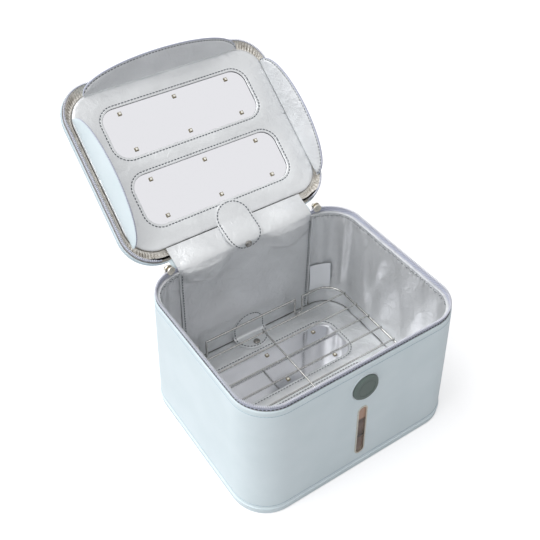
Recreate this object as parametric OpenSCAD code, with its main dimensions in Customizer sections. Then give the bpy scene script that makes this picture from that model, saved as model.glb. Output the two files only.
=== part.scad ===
// Soft-sided UV-C sanitizer case with a zipped lid, shown open.
// Origin: centre of the underside. +X to the right along the front, -Y to the front, +Z up.
// The lid parts are laid out as if closed, then lid_open() leans them back.

/* [Case] */
// Width across the rim
rim_w = 280; // [240:1:340]
// Depth across the rim, front to back
rim_d = 234; // [195:1:290]
// Outer corner radius at the rim
rim_r = 43; // [36:1:50]
// Extra width and depth of the base over the rim
base_flare = 8; // [0:1:14]
// Height of the leather wall
shell_h = 168; // [150:1:205]
// Height of the folded base pan
base_h = 8; // [6:0.5:9]
// Thickness of the welt sewn between base pan and wall
welt_t = 1.6; // [1:0.1:2.5]
// How far the welt stands proud of the wall
welt_proud = 0.8; // [0.4:0.1:1.5]

/* [Wall layers] */
// Leather skin
leather_t = 1.2; // [0.8:0.1:1.6]
// Stiffening board inside the skin
board_t = 3; // [2:0.2:4]
// Silver lining with its thin foam
liner_t = 1.8; // [1.2:0.1:2.4]
// How far the back wall seams lie in from the rear corners
seam_in = 3; // [1:1:12]
// Radius of the piping in those seams
piping_r = 1.2; // [0.8:0.1:1.6]

/* [Zipper] */
// Visible height of each zipper tape
tape_h = 5.2; // [4:0.1:6]
// Thickness of the tape
tape_t = 1.2; // [0.8:0.1:1.4]
// How far the tape stands in from the outer face
tape_in = 1.9; // [1.6:0.1:2.4]
// Height of one coil
coil_h = 2.2; // [1.8:0.1:2.6]
// Width of one coil
coil_w = 2.4; // [2:0.1:2.8]
// Gap left between the two coils when the lid is shut
coil_gap = 1; // [0.8:0.1:1.4]

/* [Slider] */
// Radius of the rounded slider plates
slider_r = 5.2; // [4.4:0.1:6.4]
// Thickness of each slider plate
slider_t = 1.5; // [1:0.1:2]
// Running clearance between slider plates and coil
slider_gap = 0.5; // [0.4:0.05:0.8]
// Where the slider is parked, as an angle round the back corner
slider_park = 9; // [8.5:0.5:20]
// Length of the pull tab
pull_l = 22; // [14:1:28]
// Width of the pull tab
pull_w = 7; // [5:0.5:9]

/* [Lid] */
// How far the lid leans back from shut
open_angle = 142; // [95:1:150]
// Height of the lid above the zipper line
lid_h = 35; // [30:1:45]
// Rounding of the lid's top edge
lid_fillet = 22; // [14:1:24]
// Distance of the hinge line behind the rim
hinge_back = 5; // [4:0.5:7]
// Gap between the lining panel and the rim at the sides
panel_side_gap = 9; // [6:0.5:14]
// Gap between the lining panel and the rim at front and back
panel_end_gap = 15; // [10:0.5:18]
// Corner radius of the lining panel
panel_r = 34; // [20:1:40]
// How far the panel stands above the zipper line
panel_z = 3.1; // [2.5:0.1:5]
// Thickness of the board under the lid leather
lid_board_t = 2.5; // [2:0.1:3]

/* [Light seal flaps] */
// Depth of the flaps
flap_h = 34; // [24:1:38]
// How far the front flap stops short of the panel's corners
front_flap_short = 26; // [22:1:40]
// How far the side flaps stop short of the panel's corners
side_flap_short = 19; // [16:1:40]
// How far the side flaps' middle lies behind the middle of the case
side_flap_y = 6; // [0:1:10]
// Thickness of one layer of a flap
flap_t = 1; // [0.8:0.1:1.2]
// Lean of the front flap away from square with the panel
front_lean = 45; // [0:1:60]
// Outward lean of the right flap
right_lean = 23; // [0:1:45]
// Inward lean of the left flap
left_lean = 16; // [0:1:30]

/* [Light plates] */
// Width of one reflector window
window_w = 196; // [180:1:200]
// Height of one reflector window
window_d = 64; // [58:1:66]
// Corner radius of the window
window_r = 18; // [8:1:24]
// Distance between the middles of the two windows
window_pitch = 87; // [82:1:92]
// Spacing of the lamps across the case
led_dx = 73.3; // [60:0.1:80]
// Spacing of the lamps front to back
led_dy = 47.4; // [36:0.1:50]
// Side of one lamp package
led_w = 4.4; // [3:0.1:5]
// Thickness of the mirror plate
mirror_t = 0.6; // [0.4:0.1:1]
// Thickness of the lamp board
led_board_t = 1.2; // [1:0.1:1.6]
// How far plates reach past the window edge
plate_lap = 4; // [2:0.5:6]

/* [Floor] */
// How far both floor windows sit back from the middle
floor_shift = 2.5; // [0:0.5:3]
// Thickness of the base board
base_board_t = 4.8; // [3:0.1:6]
// Thickness of the floor pad
pad_t = 5; // [4.5:0.1:8]

/* [Button and light] */
// How far button and light sit from the middle of the front, to the right
controls_x = -3; // [-8:0.5:8]
// Radius of the power button
button_r = 16.5; // [12:0.5:18]
// Height of the button's centre above the base
button_z = 137; // [130:1:140]
// How far the button stands out of its ring
button_out = 4.2; // [3:0.1:6]
// Travel of the button
button_travel = 1; // [0.6:0.1:1.5]
// Width of the pale ring round the button
ring_w = 1.8; // [1.4:0.1:2.4]
// Running clearance round the button
button_gap = 0.3; // [0.2:0.05:0.5]
// Length of the light slot
slot_l = 80; // [60:1:84]
// Width of the light slot
slot_w = 13.6; // [10:0.2:16]
// Height of the slot's centre above the base
slot_z = 65; // [60:1:66]
// Width of the slot's metal rim
slot_rim = 1.8; // [1.2:0.1:2.4]

/* [Snap tabs] */
// Width of the snap tabs
tab_w = 48; // [36:1:54]
// Thickness of the tabs
tab_t = 1.6; // [1.2:0.1:2]
// Length of the upper tab on the lid panel
tab_on_lid = 26; // [24:1:34]
// How far the upper tab hangs below the rim inside
tab_drop = 6; // [4:1:12]
// Height of the lower tab's top on the back wall
low_tab_z = 50; // [40:1:70]
// Length of the lower tab along the floor
low_tab_y = 28; // [26:1:34]
// Radius of a snap cap
snap_r = 4.5; // [3.5:0.1:5.5]
// Height of a snap cap
snap_h = 2; // [1.5:0.1:2.2]

/* [Rack] */
// Clearance from the rack's rails to the side walls
rack_side_gap = 8; // [5:0.5:20]
// Clearance from the rack's rails to the front and back walls
rack_end_gap = 11; // [9:0.5:20]
// Corner radius of the rack
rack_r = 28; // [20:1:36]
// How far the rack's middle lies behind the middle of the case
rack_y = 2; // [0:1:2]
// Height of the rails above the floor pad
rack_h = 31; // [22:1:40]
// Radius of the rail wire
rail_r = 1.5; // [1.2:0.1:1.8]
// Radius of the rack's cross wires
wire_r = 1.1; // [0.8:0.1:1.4]
// Number of wires across the rack
wire_count = 7; // [5:1:9]
// Distance of the feet from the rack's rounded corners
foot_in = 21; // [8:1:30]
// Distance between the two legs of a foot
foot_w = 12; // [8:1:16]

/* [Hidden] */

// Steps in each rounded corner of the case outline
corner_steps = 10;
// Overlap used so that cuts pass right through
cut = 1;
// Small distance between neighbours that only rest on each other
seat = 0.3;
// Glue line between two layers of the wall
glue_t = 0.02;

leather_colour = "#dfeaf1";
lining_colour = "#a9b0b5";
tape_colour = "#b9bdcb";
metal_colour = "#d8d2c8";
mirror_colour = "#e6e9ec";
board_colour = "#5f6468";

wall_in = leather_t + board_t + liner_t;
wall_lean = atan(base_flare / 2 / shell_h);
seam_z = shell_h + tape_h + coil_h + coil_gap / 2;
hinge_y = rim_d / 2 + hinge_back;
hinge_half = rim_w / 2 - rim_r;
corner_x = rim_w / 2 - rim_r;
corner_y = rim_d / 2 - rim_r;
lid_edge_z = 2 * seam_z - shell_h;
lid_top_z = seam_z + lid_h;
panel_face_z = seam_z + panel_z;
pad_z = leather_t + base_board_t;
floor_z = pad_z + pad_t;
seam_x = hinge_half - seam_in;
panel_w = rim_w - 2 * panel_side_gap;
panel_d = rim_d - 2 * panel_end_gap;
front_flap_l = panel_w - 2 * front_flap_short;
side_flap_l = panel_d - 2 * side_flap_short;
rail_z = floor_z + rack_h;
rack_w = rim_w + 2 * flare(rail_z) - 2 * wall_in - 2 * rack_side_gap;
rack_d = rim_d + 2 * flare(rail_z) - 2 * wall_in - 2 * rack_end_gap;
foot_x = rack_w / 2 - rack_r - foot_in - foot_w / 2;
coil_in = tape_in + tape_t / 2 - coil_w / 2;
chain_r = rim_r - tape_in - tape_t / 2;

// Outward offset of the tapered wall at a height
function flare(z) = base_flare / 2 * (1 - z / shell_h);
// Inner face of the back lining at a height
function back_y(z) = rim_d / 2 + flare(z) - wall_in;
// Outer face of the front wall at a height
function front_y(z) = -rim_d / 2 - flare(z);
// A point of the lid laid out shut, carried to the open lid, as [y, z]
function opened(y, z) = [
    hinge_y + (y - hinge_y) * cos(open_angle) + (z - seam_z) * sin(open_angle),
    seam_z - (y - hinge_y) * sin(open_angle) + (z - seam_z) * cos(open_angle)
];
// Ring of points at height z on the rim outline, moved outwards by o,
// with its corner centres spread apart by e
function ring(o, z, e = 0) = [
    for (c = [0 : 3], i = [0 : corner_steps])
        let (a = 90 * c + 90 * i / corner_steps)
        [
            (c == 0 || c == 3 ? 1 : -1) * (corner_x + e) + (rim_r + o) * cos(a),
            (c < 2 ? 1 : -1) * (corner_y + e) + (rim_r + o) * sin(a),
            z
        ]
];
// Point of a cubic curve with the given end and control points
function curve_point(p, t) =
    p[0] * pow(1 - t, 3) + 3 * p[1] * t * pow(1 - t, 2)
    + 3 * p[2] * t * t * (1 - t) + p[3] * pow(t, 3);
// Unit direction of that curve
function curve_way(p, t) =
    let (v = (p[1] - p[0]) * pow(1 - t, 2) + 2 * (p[2] - p[1]) * t * (1 - t) + (p[3] - p[2]) * t * t)
    v / norm(v);

// Solid through outline rings, each level given as [z, offset, spread]
module loft(levels) {
    n = 4 * (corner_steps + 1);
    top = (len(levels) - 1) * n;
    polyhedron(
        points = [for (l = levels) each ring(l[1], l[0], l[2])],
        faces = concat(
            [[for (i = [0 : n - 1]) i]],
            [[for (i = [0 : n - 1]) top + n - 1 - i]],
            [
                for (l = [0 : len(levels) - 2], i = [0 : n - 1], h = [0, 1])
                    let (a = l * n + i, b = l * n + (i + 1) % n)
                    h == 0 ? [a, a + n, b + n] : [a, b + n, b]
            ]
        )
    );
}

// Case outline as a flat shape, moved outwards by o, its corners spread by e
module outline(o, e = 0) {
    polygon([for (p = ring(o, 0, e)) [p[0], p[1]]]);
}

// Tapered block from z0 to z1, its sides moved outwards by o from the wall's outer face
module tapered(z0, z1, o) {
    loft([[z0, o, flare(z0)], [z1, o, flare(z1)]]);
}

// Tapered wall layer between two depths under the outer face
module wall_layer(z0, z1, in0, in1) {
    difference() {
        tapered(z0, z1, -in0);
        tapered(z0 - cut, z1 + cut, -in1);
    }
}

// Straight band along the outline between two depths
module band(z, h, in0, in1) {
    translate([0, 0, z])
        linear_extrude(h)
            difference() {
                outline(-in0);
                outline(-in1);
            }
}

// Everything behind the rear corners, between the two zipper ends
module hinge_zone(half) {
    translate([-half, 0, -cut])
        cube([2 * half, rim_d, 2 * shell_h]);
}

module rounded(w, d, r) {
    square([w - 2 * r, d], center = true);
    square([w, d - 2 * r], center = true);
    for (sx = [-1, 1], sy = [-1, 1])
        translate([sx * (w / 2 - r), sy * (d / 2 - r)])
            circle(r, $fn = 48);
}

module rounded_plate(w, d, r, h) {
    linear_extrude(h) rounded(w, d, r);
}

module both_windows(shift = 0) {
    for (s = [-1, 1])
        translate([0, s * window_pitch / 2 + shift])
            children();
}

module at_leds(shift = 0) {
    both_windows(shift)
        for (i = [-1 : 1], s = [-1, 1])
            translate([i * led_dx, s * led_dy / 2])
                children();
}

// Frame on the front wall: local -Y points out of the case
module on_front(z) {
    translate([controls_x, front_y(z), z])
        rotate([-wall_lean, 0, 0])
            children();
}

// Frame on the inner face of the back wall: local -Y points into the case
module on_back(z) {
    translate([0, back_y(z), z])
        rotate([wall_lean, 0, 0])
            children();
}

module lid_open() {
    translate([0, hinge_y, seam_z])
        rotate([-open_angle, 0, 0])
            translate([0, -hinge_y, -seam_z])
                children();
}

// Strip of constant thickness along a curve in the YZ plane, laid across X,
// its middle lifted off the curve towards the inside of the case
module curved_strip(p, t, w, lift = 0, steps = 12) {
    outer = [
        for (i = [0 : steps])
            let (q = curve_point(p, i / steps), d = curve_way(p, i / steps))
            q + (lift + t / 2) * [-d[1], d[0]]
    ];
    inner = [
        for (i = [steps : -1 : 0])
            let (q = curve_point(p, i / steps), d = curve_way(p, i / steps))
            q + (lift - t / 2) * [-d[1], d[0]]
    ];
    translate([-w / 2, 0, 0])
        rotate([90, 0, 90])
            linear_extrude(w)
                polygon(concat(outer, inner));
}

module base_panel() {
    color(leather_colour)
        difference() {
            tapered(0, base_h, 0);
            tapered(leather_t, base_h + cut, -leather_t);
        }
}

loom_w = 14;
loom_t = 1.4;

// The loom inside the back wall, grown inwards by extra where it is cut out of the board
module loom_riser(extra = 0) {
    intersection() {
        wall_layer(pad_z, shell_h - 2, wall_in - liner_t - loom_t, wall_in - liner_t + extra);
        translate([-loom_w / 2, 0, 0])
            cube([loom_w, rim_d, shell_h]);
    }
}

module loom_floor() {
    reach = back_y(pad_z) + liner_t + loom_t;
    translate([-loom_w / 2, -window_pitch / 2, pad_z - loom_t])
        cube([loom_w, window_pitch / 2 + reach, loom_t]);
}

module base_board() {
    color(board_colour)
        difference() {
            tapered(leather_t, pad_z, -leather_t);
            loom_floor();
        }
}

module base_welt() {
    color(leather_colour)
        translate([0, 0, base_h])
            linear_extrude(welt_t)
                difference() {
                    outline(welt_proud, flare(base_h));
                    outline(-leather_t, flare(base_h));
                }
}

socket_x = 70;
socket_z = 30;
socket_r = 6;

module at_socket() {
    translate([socket_x, -front_y(socket_z), socket_z])
        rotate([-90 + wall_lean, 0, 0])
            children();
}

housing_w = 46;
housing_low = 18;
housing_top = button_z + button_r + 6;
housing_in = 11;
housing_t = 2;

// Block of the control housing, from a depth under the outer face inwards
module housing_block(grow, from = leather_t) {
    intersection() {
        wall_layer(housing_low - grow, housing_top + grow, from, housing_in + grow);
        translate([controls_x - housing_w / 2 - grow, -rim_d, 0])
            cube([housing_w + 2 * grow, rim_d, shell_h]);
    }
}

module slot_shape(l, w) {
    rotate([90, 0, 0])
        linear_extrude(4 * leather_t, center = true) {
            square([w, l - w], center = true);
            for (s = [-1, 1])
                translate([0, s * (l - w) / 2])
                    circle(w / 2, $fn = 48);
        }
}

module outer_shell() {
    color(leather_colour)
        difference() {
            wall_layer(base_h + welt_t, shell_h, 0, leather_t);
            on_front(button_z)
                rotate([90, 0, 0])
                    cylinder(h = 6 * leather_t, r = button_r + ring_w, center = true, $fn = 72);
            on_front(slot_z)
                slot_shape(slot_l, slot_w);
            at_socket()
                cylinder(h = 6 * leather_t, r = socket_r, center = true, $fn = 48);
        }
}

module wall_board() {
    color(board_colour)
        difference() {
            wall_layer(pad_z, shell_h, leather_t + glue_t, leather_t + board_t);
            housing_block(0, 0);
            loom_riser(cut);
            at_socket()
                cylinder(h = 8 * board_t, r = socket_r, center = true, $fn = 48);
        }
}

module wall_liner() {
    color(lining_colour)
        difference() {
            union() {
                difference() {
                    wall_layer(pad_z, shell_h, leather_t + board_t + glue_t, wall_in);
                    hinge_zone(seam_x);
                }
                housing_block(liner_t, leather_t + board_t + glue_t);
            }
            housing_block(0, 0);
        }
}

module back_liner() {
    color(lining_colour)
        intersection() {
            wall_layer(pad_z, shell_h, leather_t + board_t + glue_t, wall_in);
            hinge_zone(seam_x);
        }
}

module seam_piping() {
    color(lining_colour)
        for (s = [-1, 1])
            translate([s * seam_x, 0, 0])
                on_back(floor_z)
                    translate([0, -piping_r, 0])
                        cylinder(h = shell_h - floor_z - 1, r = piping_r, $fn = 24);
}

module body_zip_tape() {
    color(tape_colour)
        difference() {
            band(shell_h, tape_h, tape_in, tape_in + tape_t);
            hinge_zone(hinge_half);
        }
}

module body_zip_coil() {
    color(tape_colour)
        difference() {
            band(shell_h + tape_h, coil_h, coil_in, coil_in + coil_w);
            hinge_zone(hinge_half);
        }
}

plate_w = window_w + 2 * plate_lap;
plate_d = window_d + 2 * plate_lap;
led_gap = 0.2;
led_h = 1.8;

module led_packages(shift = 0) {
    at_leds(shift)
        difference() {
            linear_extrude(led_h) square(led_w, center = true);
            translate([0, 0, led_h - 0.5])
                cylinder(h = cut, r = led_w * 0.34, $fn = 24);
        }
}

module mirror_plates(shift = 0) {
    linear_extrude(mirror_t)
        difference() {
            both_windows(shift) rounded(plate_w, plate_d, window_r);
            at_leds(shift) square(led_w + 2 * led_gap, center = true);
        }
}

module led_boards(shift = 0) {
    linear_extrude(led_board_t)
        both_windows(shift) rounded(plate_w, plate_d, window_r);
}

module floor_pad() {
    color(lining_colour)
        difference() {
            tapered(pad_z, floor_z, -wall_in - seat);
            translate([0, 0, pad_z - cut])
                linear_extrude(led_board_t + mirror_t + cut)
                    both_windows(floor_shift) rounded(plate_w, plate_d, window_r);
            translate([0, 0, pad_z])
                linear_extrude(pad_t + cut)
                    both_windows(floor_shift) rounded(window_w, window_d, window_r);
        }
}

module floor_led_boards() {
    color("#f1f3f4") translate([0, 0, pad_z]) led_boards(floor_shift);
}

module floor_reflectors() {
    color(mirror_colour) translate([0, 0, pad_z + led_board_t]) mirror_plates(floor_shift);
}

module floor_leds() {
    color("#d9c98a") translate([0, 0, pad_z + led_board_t]) led_packages(floor_shift);
}

board_in = leather_t + 5.2;
pcb_t = 1.6;
// Hair gap between the board and what is soldered on it
solder_gap = 0.05;

module control_housing() {
    color("#c8ccd0")
        difference() {
            housing_block(0);
            intersection() {
                wall_layer(housing_low + housing_t, housing_top - housing_t, 0, housing_in - housing_t);
                translate([controls_x - housing_w / 2 + housing_t, -rim_d, 0])
                    cube([housing_w - 2 * housing_t, rim_d, shell_h]);
            }
        }
}

module control_board() {
    color("#2f6b4a")
        intersection() {
            wall_layer(
                housing_low + housing_t + seat, housing_top - housing_t - seat,
                board_in, board_in + pcb_t
            );
            translate([controls_x - housing_w / 2 + housing_t + seat, -rim_d, 0])
                cube([housing_w - 2 * (housing_t + seat), rim_d, shell_h]);
        }
}

switch_w = 6;
switch_h = 2.6;

module button_switch() {
    color("#3a3d40")
        on_front(button_z)
            translate([0, board_in - solder_gap - switch_h / 2, 0])
                cube([switch_w, switch_h, switch_w], center = true);
}

module lid_sensor() {
    color("#2b2d30")
        on_front(button_z + button_r - 2)
            translate([housing_w / 2 - 7, board_in - solder_gap - 0.6, 0])
                cube([4, 1.2, 3], center = true);
}

module light_strip() {
    color("#efe6d8")
        on_front(slot_z)
            for (i = [-2 : 2])
                translate([0, board_in - solder_gap - 0.7, i * slot_l / 6])
                    cube([5, 1.4, 5], center = true);
}

window_in = 1.2;
window_t = 1.6;

module indicator_window() {
    color("#b08c7c")
        on_front(slot_z)
            rotate([90, 0, 0])
                translate([0, 0, -window_in - window_t])
                    linear_extrude(window_t)
                        slot_outline(slot_l - 0.6, slot_w - 0.6);
}

module slot_outline(l, w) {
    square([w, l - w], center = true);
    for (s = [-1, 1])
        translate([0, s * (l - w) / 2])
            circle(w / 2, $fn = 48);
}

module indicator_bezel() {
    color(metal_colour)
        on_front(slot_z)
            rotate([90, 0, 0])
                translate([0, 0, -window_in])
                    linear_extrude(window_in + 0.6)
                        difference() {
                            slot_outline(slot_l, slot_w);
                            slot_outline(slot_l - 2 * slot_rim, slot_w - 2 * slot_rim);
                        }
}

ring_out = 0.9;
ring_back = leather_t + 1.6;

module button_bezel() {
    color("#e4eaee")
        on_front(button_z)
            rotate([90, 0, 0])
                rotate_extrude($fn = 96)
                    polygon([
                        [button_r + button_gap, -ring_back],
                        [button_r + ring_w, -ring_back],
                        [button_r + ring_w, ring_out - 0.5],
                        [button_r + ring_w - 0.5, ring_out],
                        [button_r + button_gap, ring_out]
                    ]);
}

module power_button() {
    groove = button_r * 0.62;
    stem = board_in - solder_gap - switch_h - button_travel - 0.2;
    color("#64706a")
        on_front(button_z)
            rotate([90, 0, 0])
                rotate_extrude($fn = 96)
                    polygon([
                        [0, -stem],
                        [2.5, -stem],
                        [2.5, -button_travel - 0.4],
                        [button_r, -button_travel - 0.4],
                        [button_r, button_out - 1.8],
                        [button_r - 1.8, button_out],
                        [groove + 1, button_out],
                        [groove + 0.6, button_out - 0.5],
                        [groove, button_out - 0.5],
                        [groove - 0.6, button_out - 0.2],
                        [0, button_out - 0.2]
                    ]);
}

module power_socket() {
    color("#303336")
        at_socket()
            difference() {
                union() {
                    translate([0, 0, -leather_t - board_t])
                        cylinder(h = leather_t + board_t, r = socket_r, $fn = 48);
                    cylinder(h = 1, r = socket_r + 1.5, $fn = 48);
                }
                translate([0, 0, -leather_t - board_t + 0.6])
                    cylinder(h = 2 * board_t + cut, r = 3.2, $fn = 48);
            }
}

module wiring_loom() {
    color("#8a8f94") {
        loom_riser();
        loom_floor();
    }
}

label_w = 28;
label_h = 42;

module blank_label() {
    low_z = floor_z + 30;
    color("#eef0f2")
        translate([seam_x + piping_r, back_y(low_z + label_h) - 1, low_z])
            rotate([0, 0, -20])
                cube([label_w, 0.5, label_h]);
}

// Outer leather hinge: from the top of the back wall to the back edge of the lid
module hinge_strip() {
    low = [rim_d / 2 - leather_t / 2, shell_h];
    high = opened(rim_d / 2 - leather_t / 2, lid_edge_z - seat);
    way = opened(rim_d / 2 - leather_t / 2, lid_edge_z - seat - 4);
    color(leather_colour)
        curved_strip([low, low + [0, 4], way, high], leather_t, 2 * hinge_half);
}

hinge_lap = 0.8;
hinge_bulge = 8.4;

// Middle of the lining across the hinge, from the back lining to the lid panel
function hinge_line() =
    let (
        low = [back_y(shell_h) + liner_t / 2, shell_h],
        high = opened(panel_d / 2 + hinge_lap, panel_face_z + liner_t / 2)
    )
    [
        low, low + [0, hinge_bulge],
        high - hinge_bulge * [-cos(open_angle), sin(open_angle)], high
    ];

module hinge_lining() {
    color(lining_colour)
        curved_strip(hinge_line(), 1, 2 * seam_x);
}

// Distance from a lining's face to the middle of a tab that lies on it
tab_lift = tab_t / 2 + seat;

module upper_tab() {
    color(lining_colour) {
        curved_strip(hinge_line(), tab_t, tab_w, tab_lift + liner_t / 2, 8);
        translate([0, back_y(shell_h) - tab_lift, shell_h])
            rotate([90, 0, 0])
                translate([0, 0, -tab_t / 2])
                    tab_end(tab_drop);
        lid_open()
            translate([0, panel_d / 2 + hinge_lap, panel_face_z - tab_lift - tab_t / 2])
                tab_end(tab_on_lid + hinge_lap);
    }
}

// Half-round end of a tab reaching l beyond its root, towards -Y
module tab_end(l) {
    corner = min(l, tab_w / 2);
    linear_extrude(tab_t)
        intersection() {
            translate([-tab_w / 2, -l])
                square([tab_w, l]);
            union() {
                translate([0, -l + tab_w / 2])
                    circle(tab_w / 2, $fn = 64);
                translate([-tab_w / 2, -l + corner])
                    square([tab_w, l]);
            }
        }
}

module snap(h) {
    rotate_extrude($fn = 48)
        polygon([
            [0, 0], [snap_r, 0], [snap_r, 0.5], [snap_r * 0.88, h * 0.7],
            [snap_r * 0.6, h], [0, h]
        ]);
}

module upper_snap() {
    color(metal_colour)
        translate([0, back_y(shell_h) - tab_lift - tab_t / 2, shell_h + snap_r - tab_drop + 2.5])
            rotate([90, 0, 0])
                snap(snap_h);
}

low_tab_round = 24;
low_tab_bend = 10;

module lower_tab() {
    yb = back_y(low_tab_z) - tab_lift;
    zf = floor_z + tab_lift;
    color(lining_colour) {
        curved_strip(
            [[yb, low_tab_z - low_tab_round], [yb, floor_z + 5], [yb - 4, zf], [yb - low_tab_bend, zf]],
            tab_t, tab_w, 0, 8
        );
        translate([0, yb, low_tab_z - low_tab_round])
            rotate([-90, 0, 0])
                translate([0, 0, -tab_t / 2])
                    tab_end(low_tab_round);
        translate([0, yb - low_tab_bend, zf - tab_t / 2])
            tab_end(low_tab_y - low_tab_bend);
    }
}

module lower_snap() {
    color(metal_colour)
        translate([0, back_y(low_tab_z) - tab_lift - low_tab_y + 2 * snap_r, floor_z + tab_lift + tab_t / 2])
            snap(snap_h);
}

// Top edge rounding, kept within the lid's own height
dome_r = min(lid_fillet, lid_top_z - lid_edge_z - 2);

// Outline levels of the lid dome, t under its outer face, starting at z0
function dome(t, z0) = concat(
    [[z0, -t, 0]],
    [
        for (a = [0 : 15 : 90])
            [lid_top_z - dome_r + (dome_r - t) * sin(a), -dome_r + (dome_r - t) * cos(a), 0]
    ]
);

module lid_shell() {
    color(leather_colour)
        lid_open()
            difference() {
                loft(dome(0, lid_edge_z));
                loft(dome(leather_t, lid_edge_z - cut));
            }
}

module lid_board() {
    color(board_colour)
        lid_open()
            difference() {
                loft(dome(leather_t, lid_edge_z));
                loft(dome(leather_t + lid_board_t, lid_edge_z - cut));
            }
}

core_low_z = panel_face_z + liner_t;
core_rim_t = 3.4;
core_rib = 8;

// Flat frame and middle rib that carry the panel card on the lid board
module core_ribs() {
    w = panel_w - 2 * dome_r;
    d = panel_d - dome_r;
    linear_extrude(lid_top_z - leather_t - lid_board_t - core_low_z) {
        difference() {
            rounded(w, d, panel_r - 10);
            rounded(w - 2 * core_rib, d - 2 * core_rib, panel_r - 10 - core_rib);
        }
        square([w - core_rib, core_rib], center = true);
    }
}

module lid_core() {
    color("#e8eaec")
        lid_open()
            difference() {
                translate([0, 0, core_low_z]) {
                    rounded_plate(panel_w, panel_d, panel_r, core_rim_t);
                    core_ribs();
                }
                translate([0, 0, core_low_z - cut])
                    linear_extrude(mirror_t + led_board_t + cut)
                        both_windows() rounded(plate_w, plate_d, window_r);
                magnet_place()
                    cylinder(h = magnet_t + 0.1, r = magnet_r + 0.1, $fn = 48);
            }
}

magnet_r = 5;
magnet_t = 2;

module magnet_place() {
    translate([controls_x + housing_w / 2 - 7, -panel_d / 2 + magnet_r + 4, core_low_z])
        children();
}

module lid_magnet() {
    color("#9aa0a6")
        lid_open()
            magnet_place()
                cylinder(h = magnet_t, r = magnet_r, $fn = 48);
}

module lid_liner() {
    color(lining_colour)
        lid_open()
            translate([0, 0, panel_face_z])
                linear_extrude(liner_t)
                    difference() {
                        rounded(panel_w, panel_d, panel_r);
                        both_windows() rounded(window_w, window_d, window_r);
                    }
}

gusset_t = 1.2;
gusset_z = max(core_low_z + 0.6, seam_z + slider_r + 0.4);

module lid_gusset() {
    color(lining_colour)
        lid_open()
            translate([0, 0, gusset_z])
                linear_extrude(gusset_t)
                    difference() {
                        outline(-tape_in - tape_t - 0.2);
                        rounded(panel_w + 0.4, panel_d + 0.4, panel_r);
                    }
}

module lid_reflectors() {
    color(mirror_colour)
        lid_open()
            translate([0, 0, core_low_z])
                mirror_plates();
}

module lid_led_boards() {
    color("#f1f3f4")
        lid_open()
            translate([0, 0, core_low_z + mirror_t])
                led_boards();
}

module lid_leds() {
    color("#d9c98a")
        lid_open()
            translate([0, 0, core_low_z + mirror_t])
                mirror([0, 0, 1])
                    led_packages();
}

// Where the lid's chain starts, just past the parked sliders
lid_chain_x = corner_x + (chain_r + coil_w / 2) * sin(slider_park) + slider_r + 1;

module lid_zip_tape() {
    color(tape_colour)
        lid_open()
            difference() {
                band(lid_edge_z - tape_h, tape_h, tape_in, tape_in + tape_t);
                hinge_zone(lid_chain_x);
            }
}

module lid_zip_coil() {
    color(tape_colour)
        lid_open()
            difference() {
                band(seam_z + coil_gap / 2, coil_h, coil_in, coil_in + coil_w);
                hinge_zone(lid_chain_x);
            }
}

flap_inset = 2;
fold_z = panel_face_z - seat;

// Lens-shaped layer of a flap hanging from its fold line, in the XZ plane.
// Its root stays clear of the panel when the flap leans by lean.
module flap_layer(l, y0, lean) {
    root = flap_t * tan(lean) + 0.1;
    translate([0, y0 + flap_t, 0])
        rotate([90, 0, 0])
            linear_extrude(flap_t)
                polygon([
                    for (a = [0 : 7.5 : 180])
                        [l / 2 * cos(a), -root - (flap_h - root) * pow(sin(a), 0.9)]
                ]);
}

// Front flap: local +Y is the inside of the case
module front_place() {
    lid_open()
        translate([0, -panel_d / 2 + flap_inset, fold_z])
            rotate([-front_lean, 0, 0])
                children();
}

// Side flap on side s, leaning outwards by lean
module side_place(s, lean) {
    lid_open()
        translate([s * (panel_w / 2 - flap_inset), side_flap_y, fold_z])
            rotate([0, -s * lean, 0])
                rotate([0, 0, s * 90])
                    children();
}

module front_flap() {
    color(leather_colour) front_place() flap_layer(front_flap_l, -flap_t, front_lean);
}

module front_flap_lining() {
    color(lining_colour) front_place() flap_layer(front_flap_l, 0, front_lean);
}

module left_flap() {
    color(leather_colour) side_place(-1, -left_lean) flap_layer(side_flap_l, -flap_t, left_lean);
}

module left_flap_lining() {
    color(lining_colour) side_place(-1, -left_lean) flap_layer(side_flap_l, 0, left_lean);
}

module right_flap() {
    color(leather_colour) side_place(1, right_lean) flap_layer(side_flap_l, -flap_t, right_lean);
}

module right_flap_lining() {
    color(lining_colour) side_place(1, right_lean) flap_layer(side_flap_l, 0, right_lean);
}

slider_in = chain_r - coil_w / 2 - slider_gap;
slider_out = chain_r + coil_w / 2 + slider_gap;
bail_r = 0.7;
bail_out = 2.4;
bail_l = 9;
eye_r = 2.1;
pull_t = 1.4;

// Frame of a parked slider: origin on the corner axis, local +Y points outwards
module slider_place(s) {
    translate([s * corner_x, corner_y, seam_z])
        rotate([0, 0, -s * slider_park])
            children();
}

module slider_plate(r0) {
    intersection() {
        difference() {
            cylinder(h = 2 * slider_r, r = r0 + slider_t, center = true, $fn = 96);
            cylinder(h = 2 * slider_r + cut, r = r0, center = true, $fn = 96);
        }
        translate([0, r0, 0])
            rotate([90, 0, 0])
                cylinder(h = 4 * slider_t, r = slider_r, center = true, $fn = 48);
    }
}

module slider(s) {
    web_t = coil_gap / 2;
    color(metal_colour)
        slider_place(s) {
            slider_plate(slider_out);
            slider_plate(slider_in - slider_t);
            translate([-2, slider_in - slider_t / 2, -web_t / 2])
                cube([4, slider_out - slider_in + slider_t, web_t]);
            translate([-bail_l / 2, slider_out + slider_t + bail_out, 0])
                rotate([0, 90, 0])
                    cylinder(h = bail_l, r = bail_r, $fn = 24);
            for (t = [-1, 1])
                translate([t * (bail_l / 2 - bail_r), slider_out + slider_t / 2, 0])
                    rotate([-90, 0, 0])
                        cylinder(h = slider_t / 2 + bail_out, r = bail_r, $fn = 24);
        }
}

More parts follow.
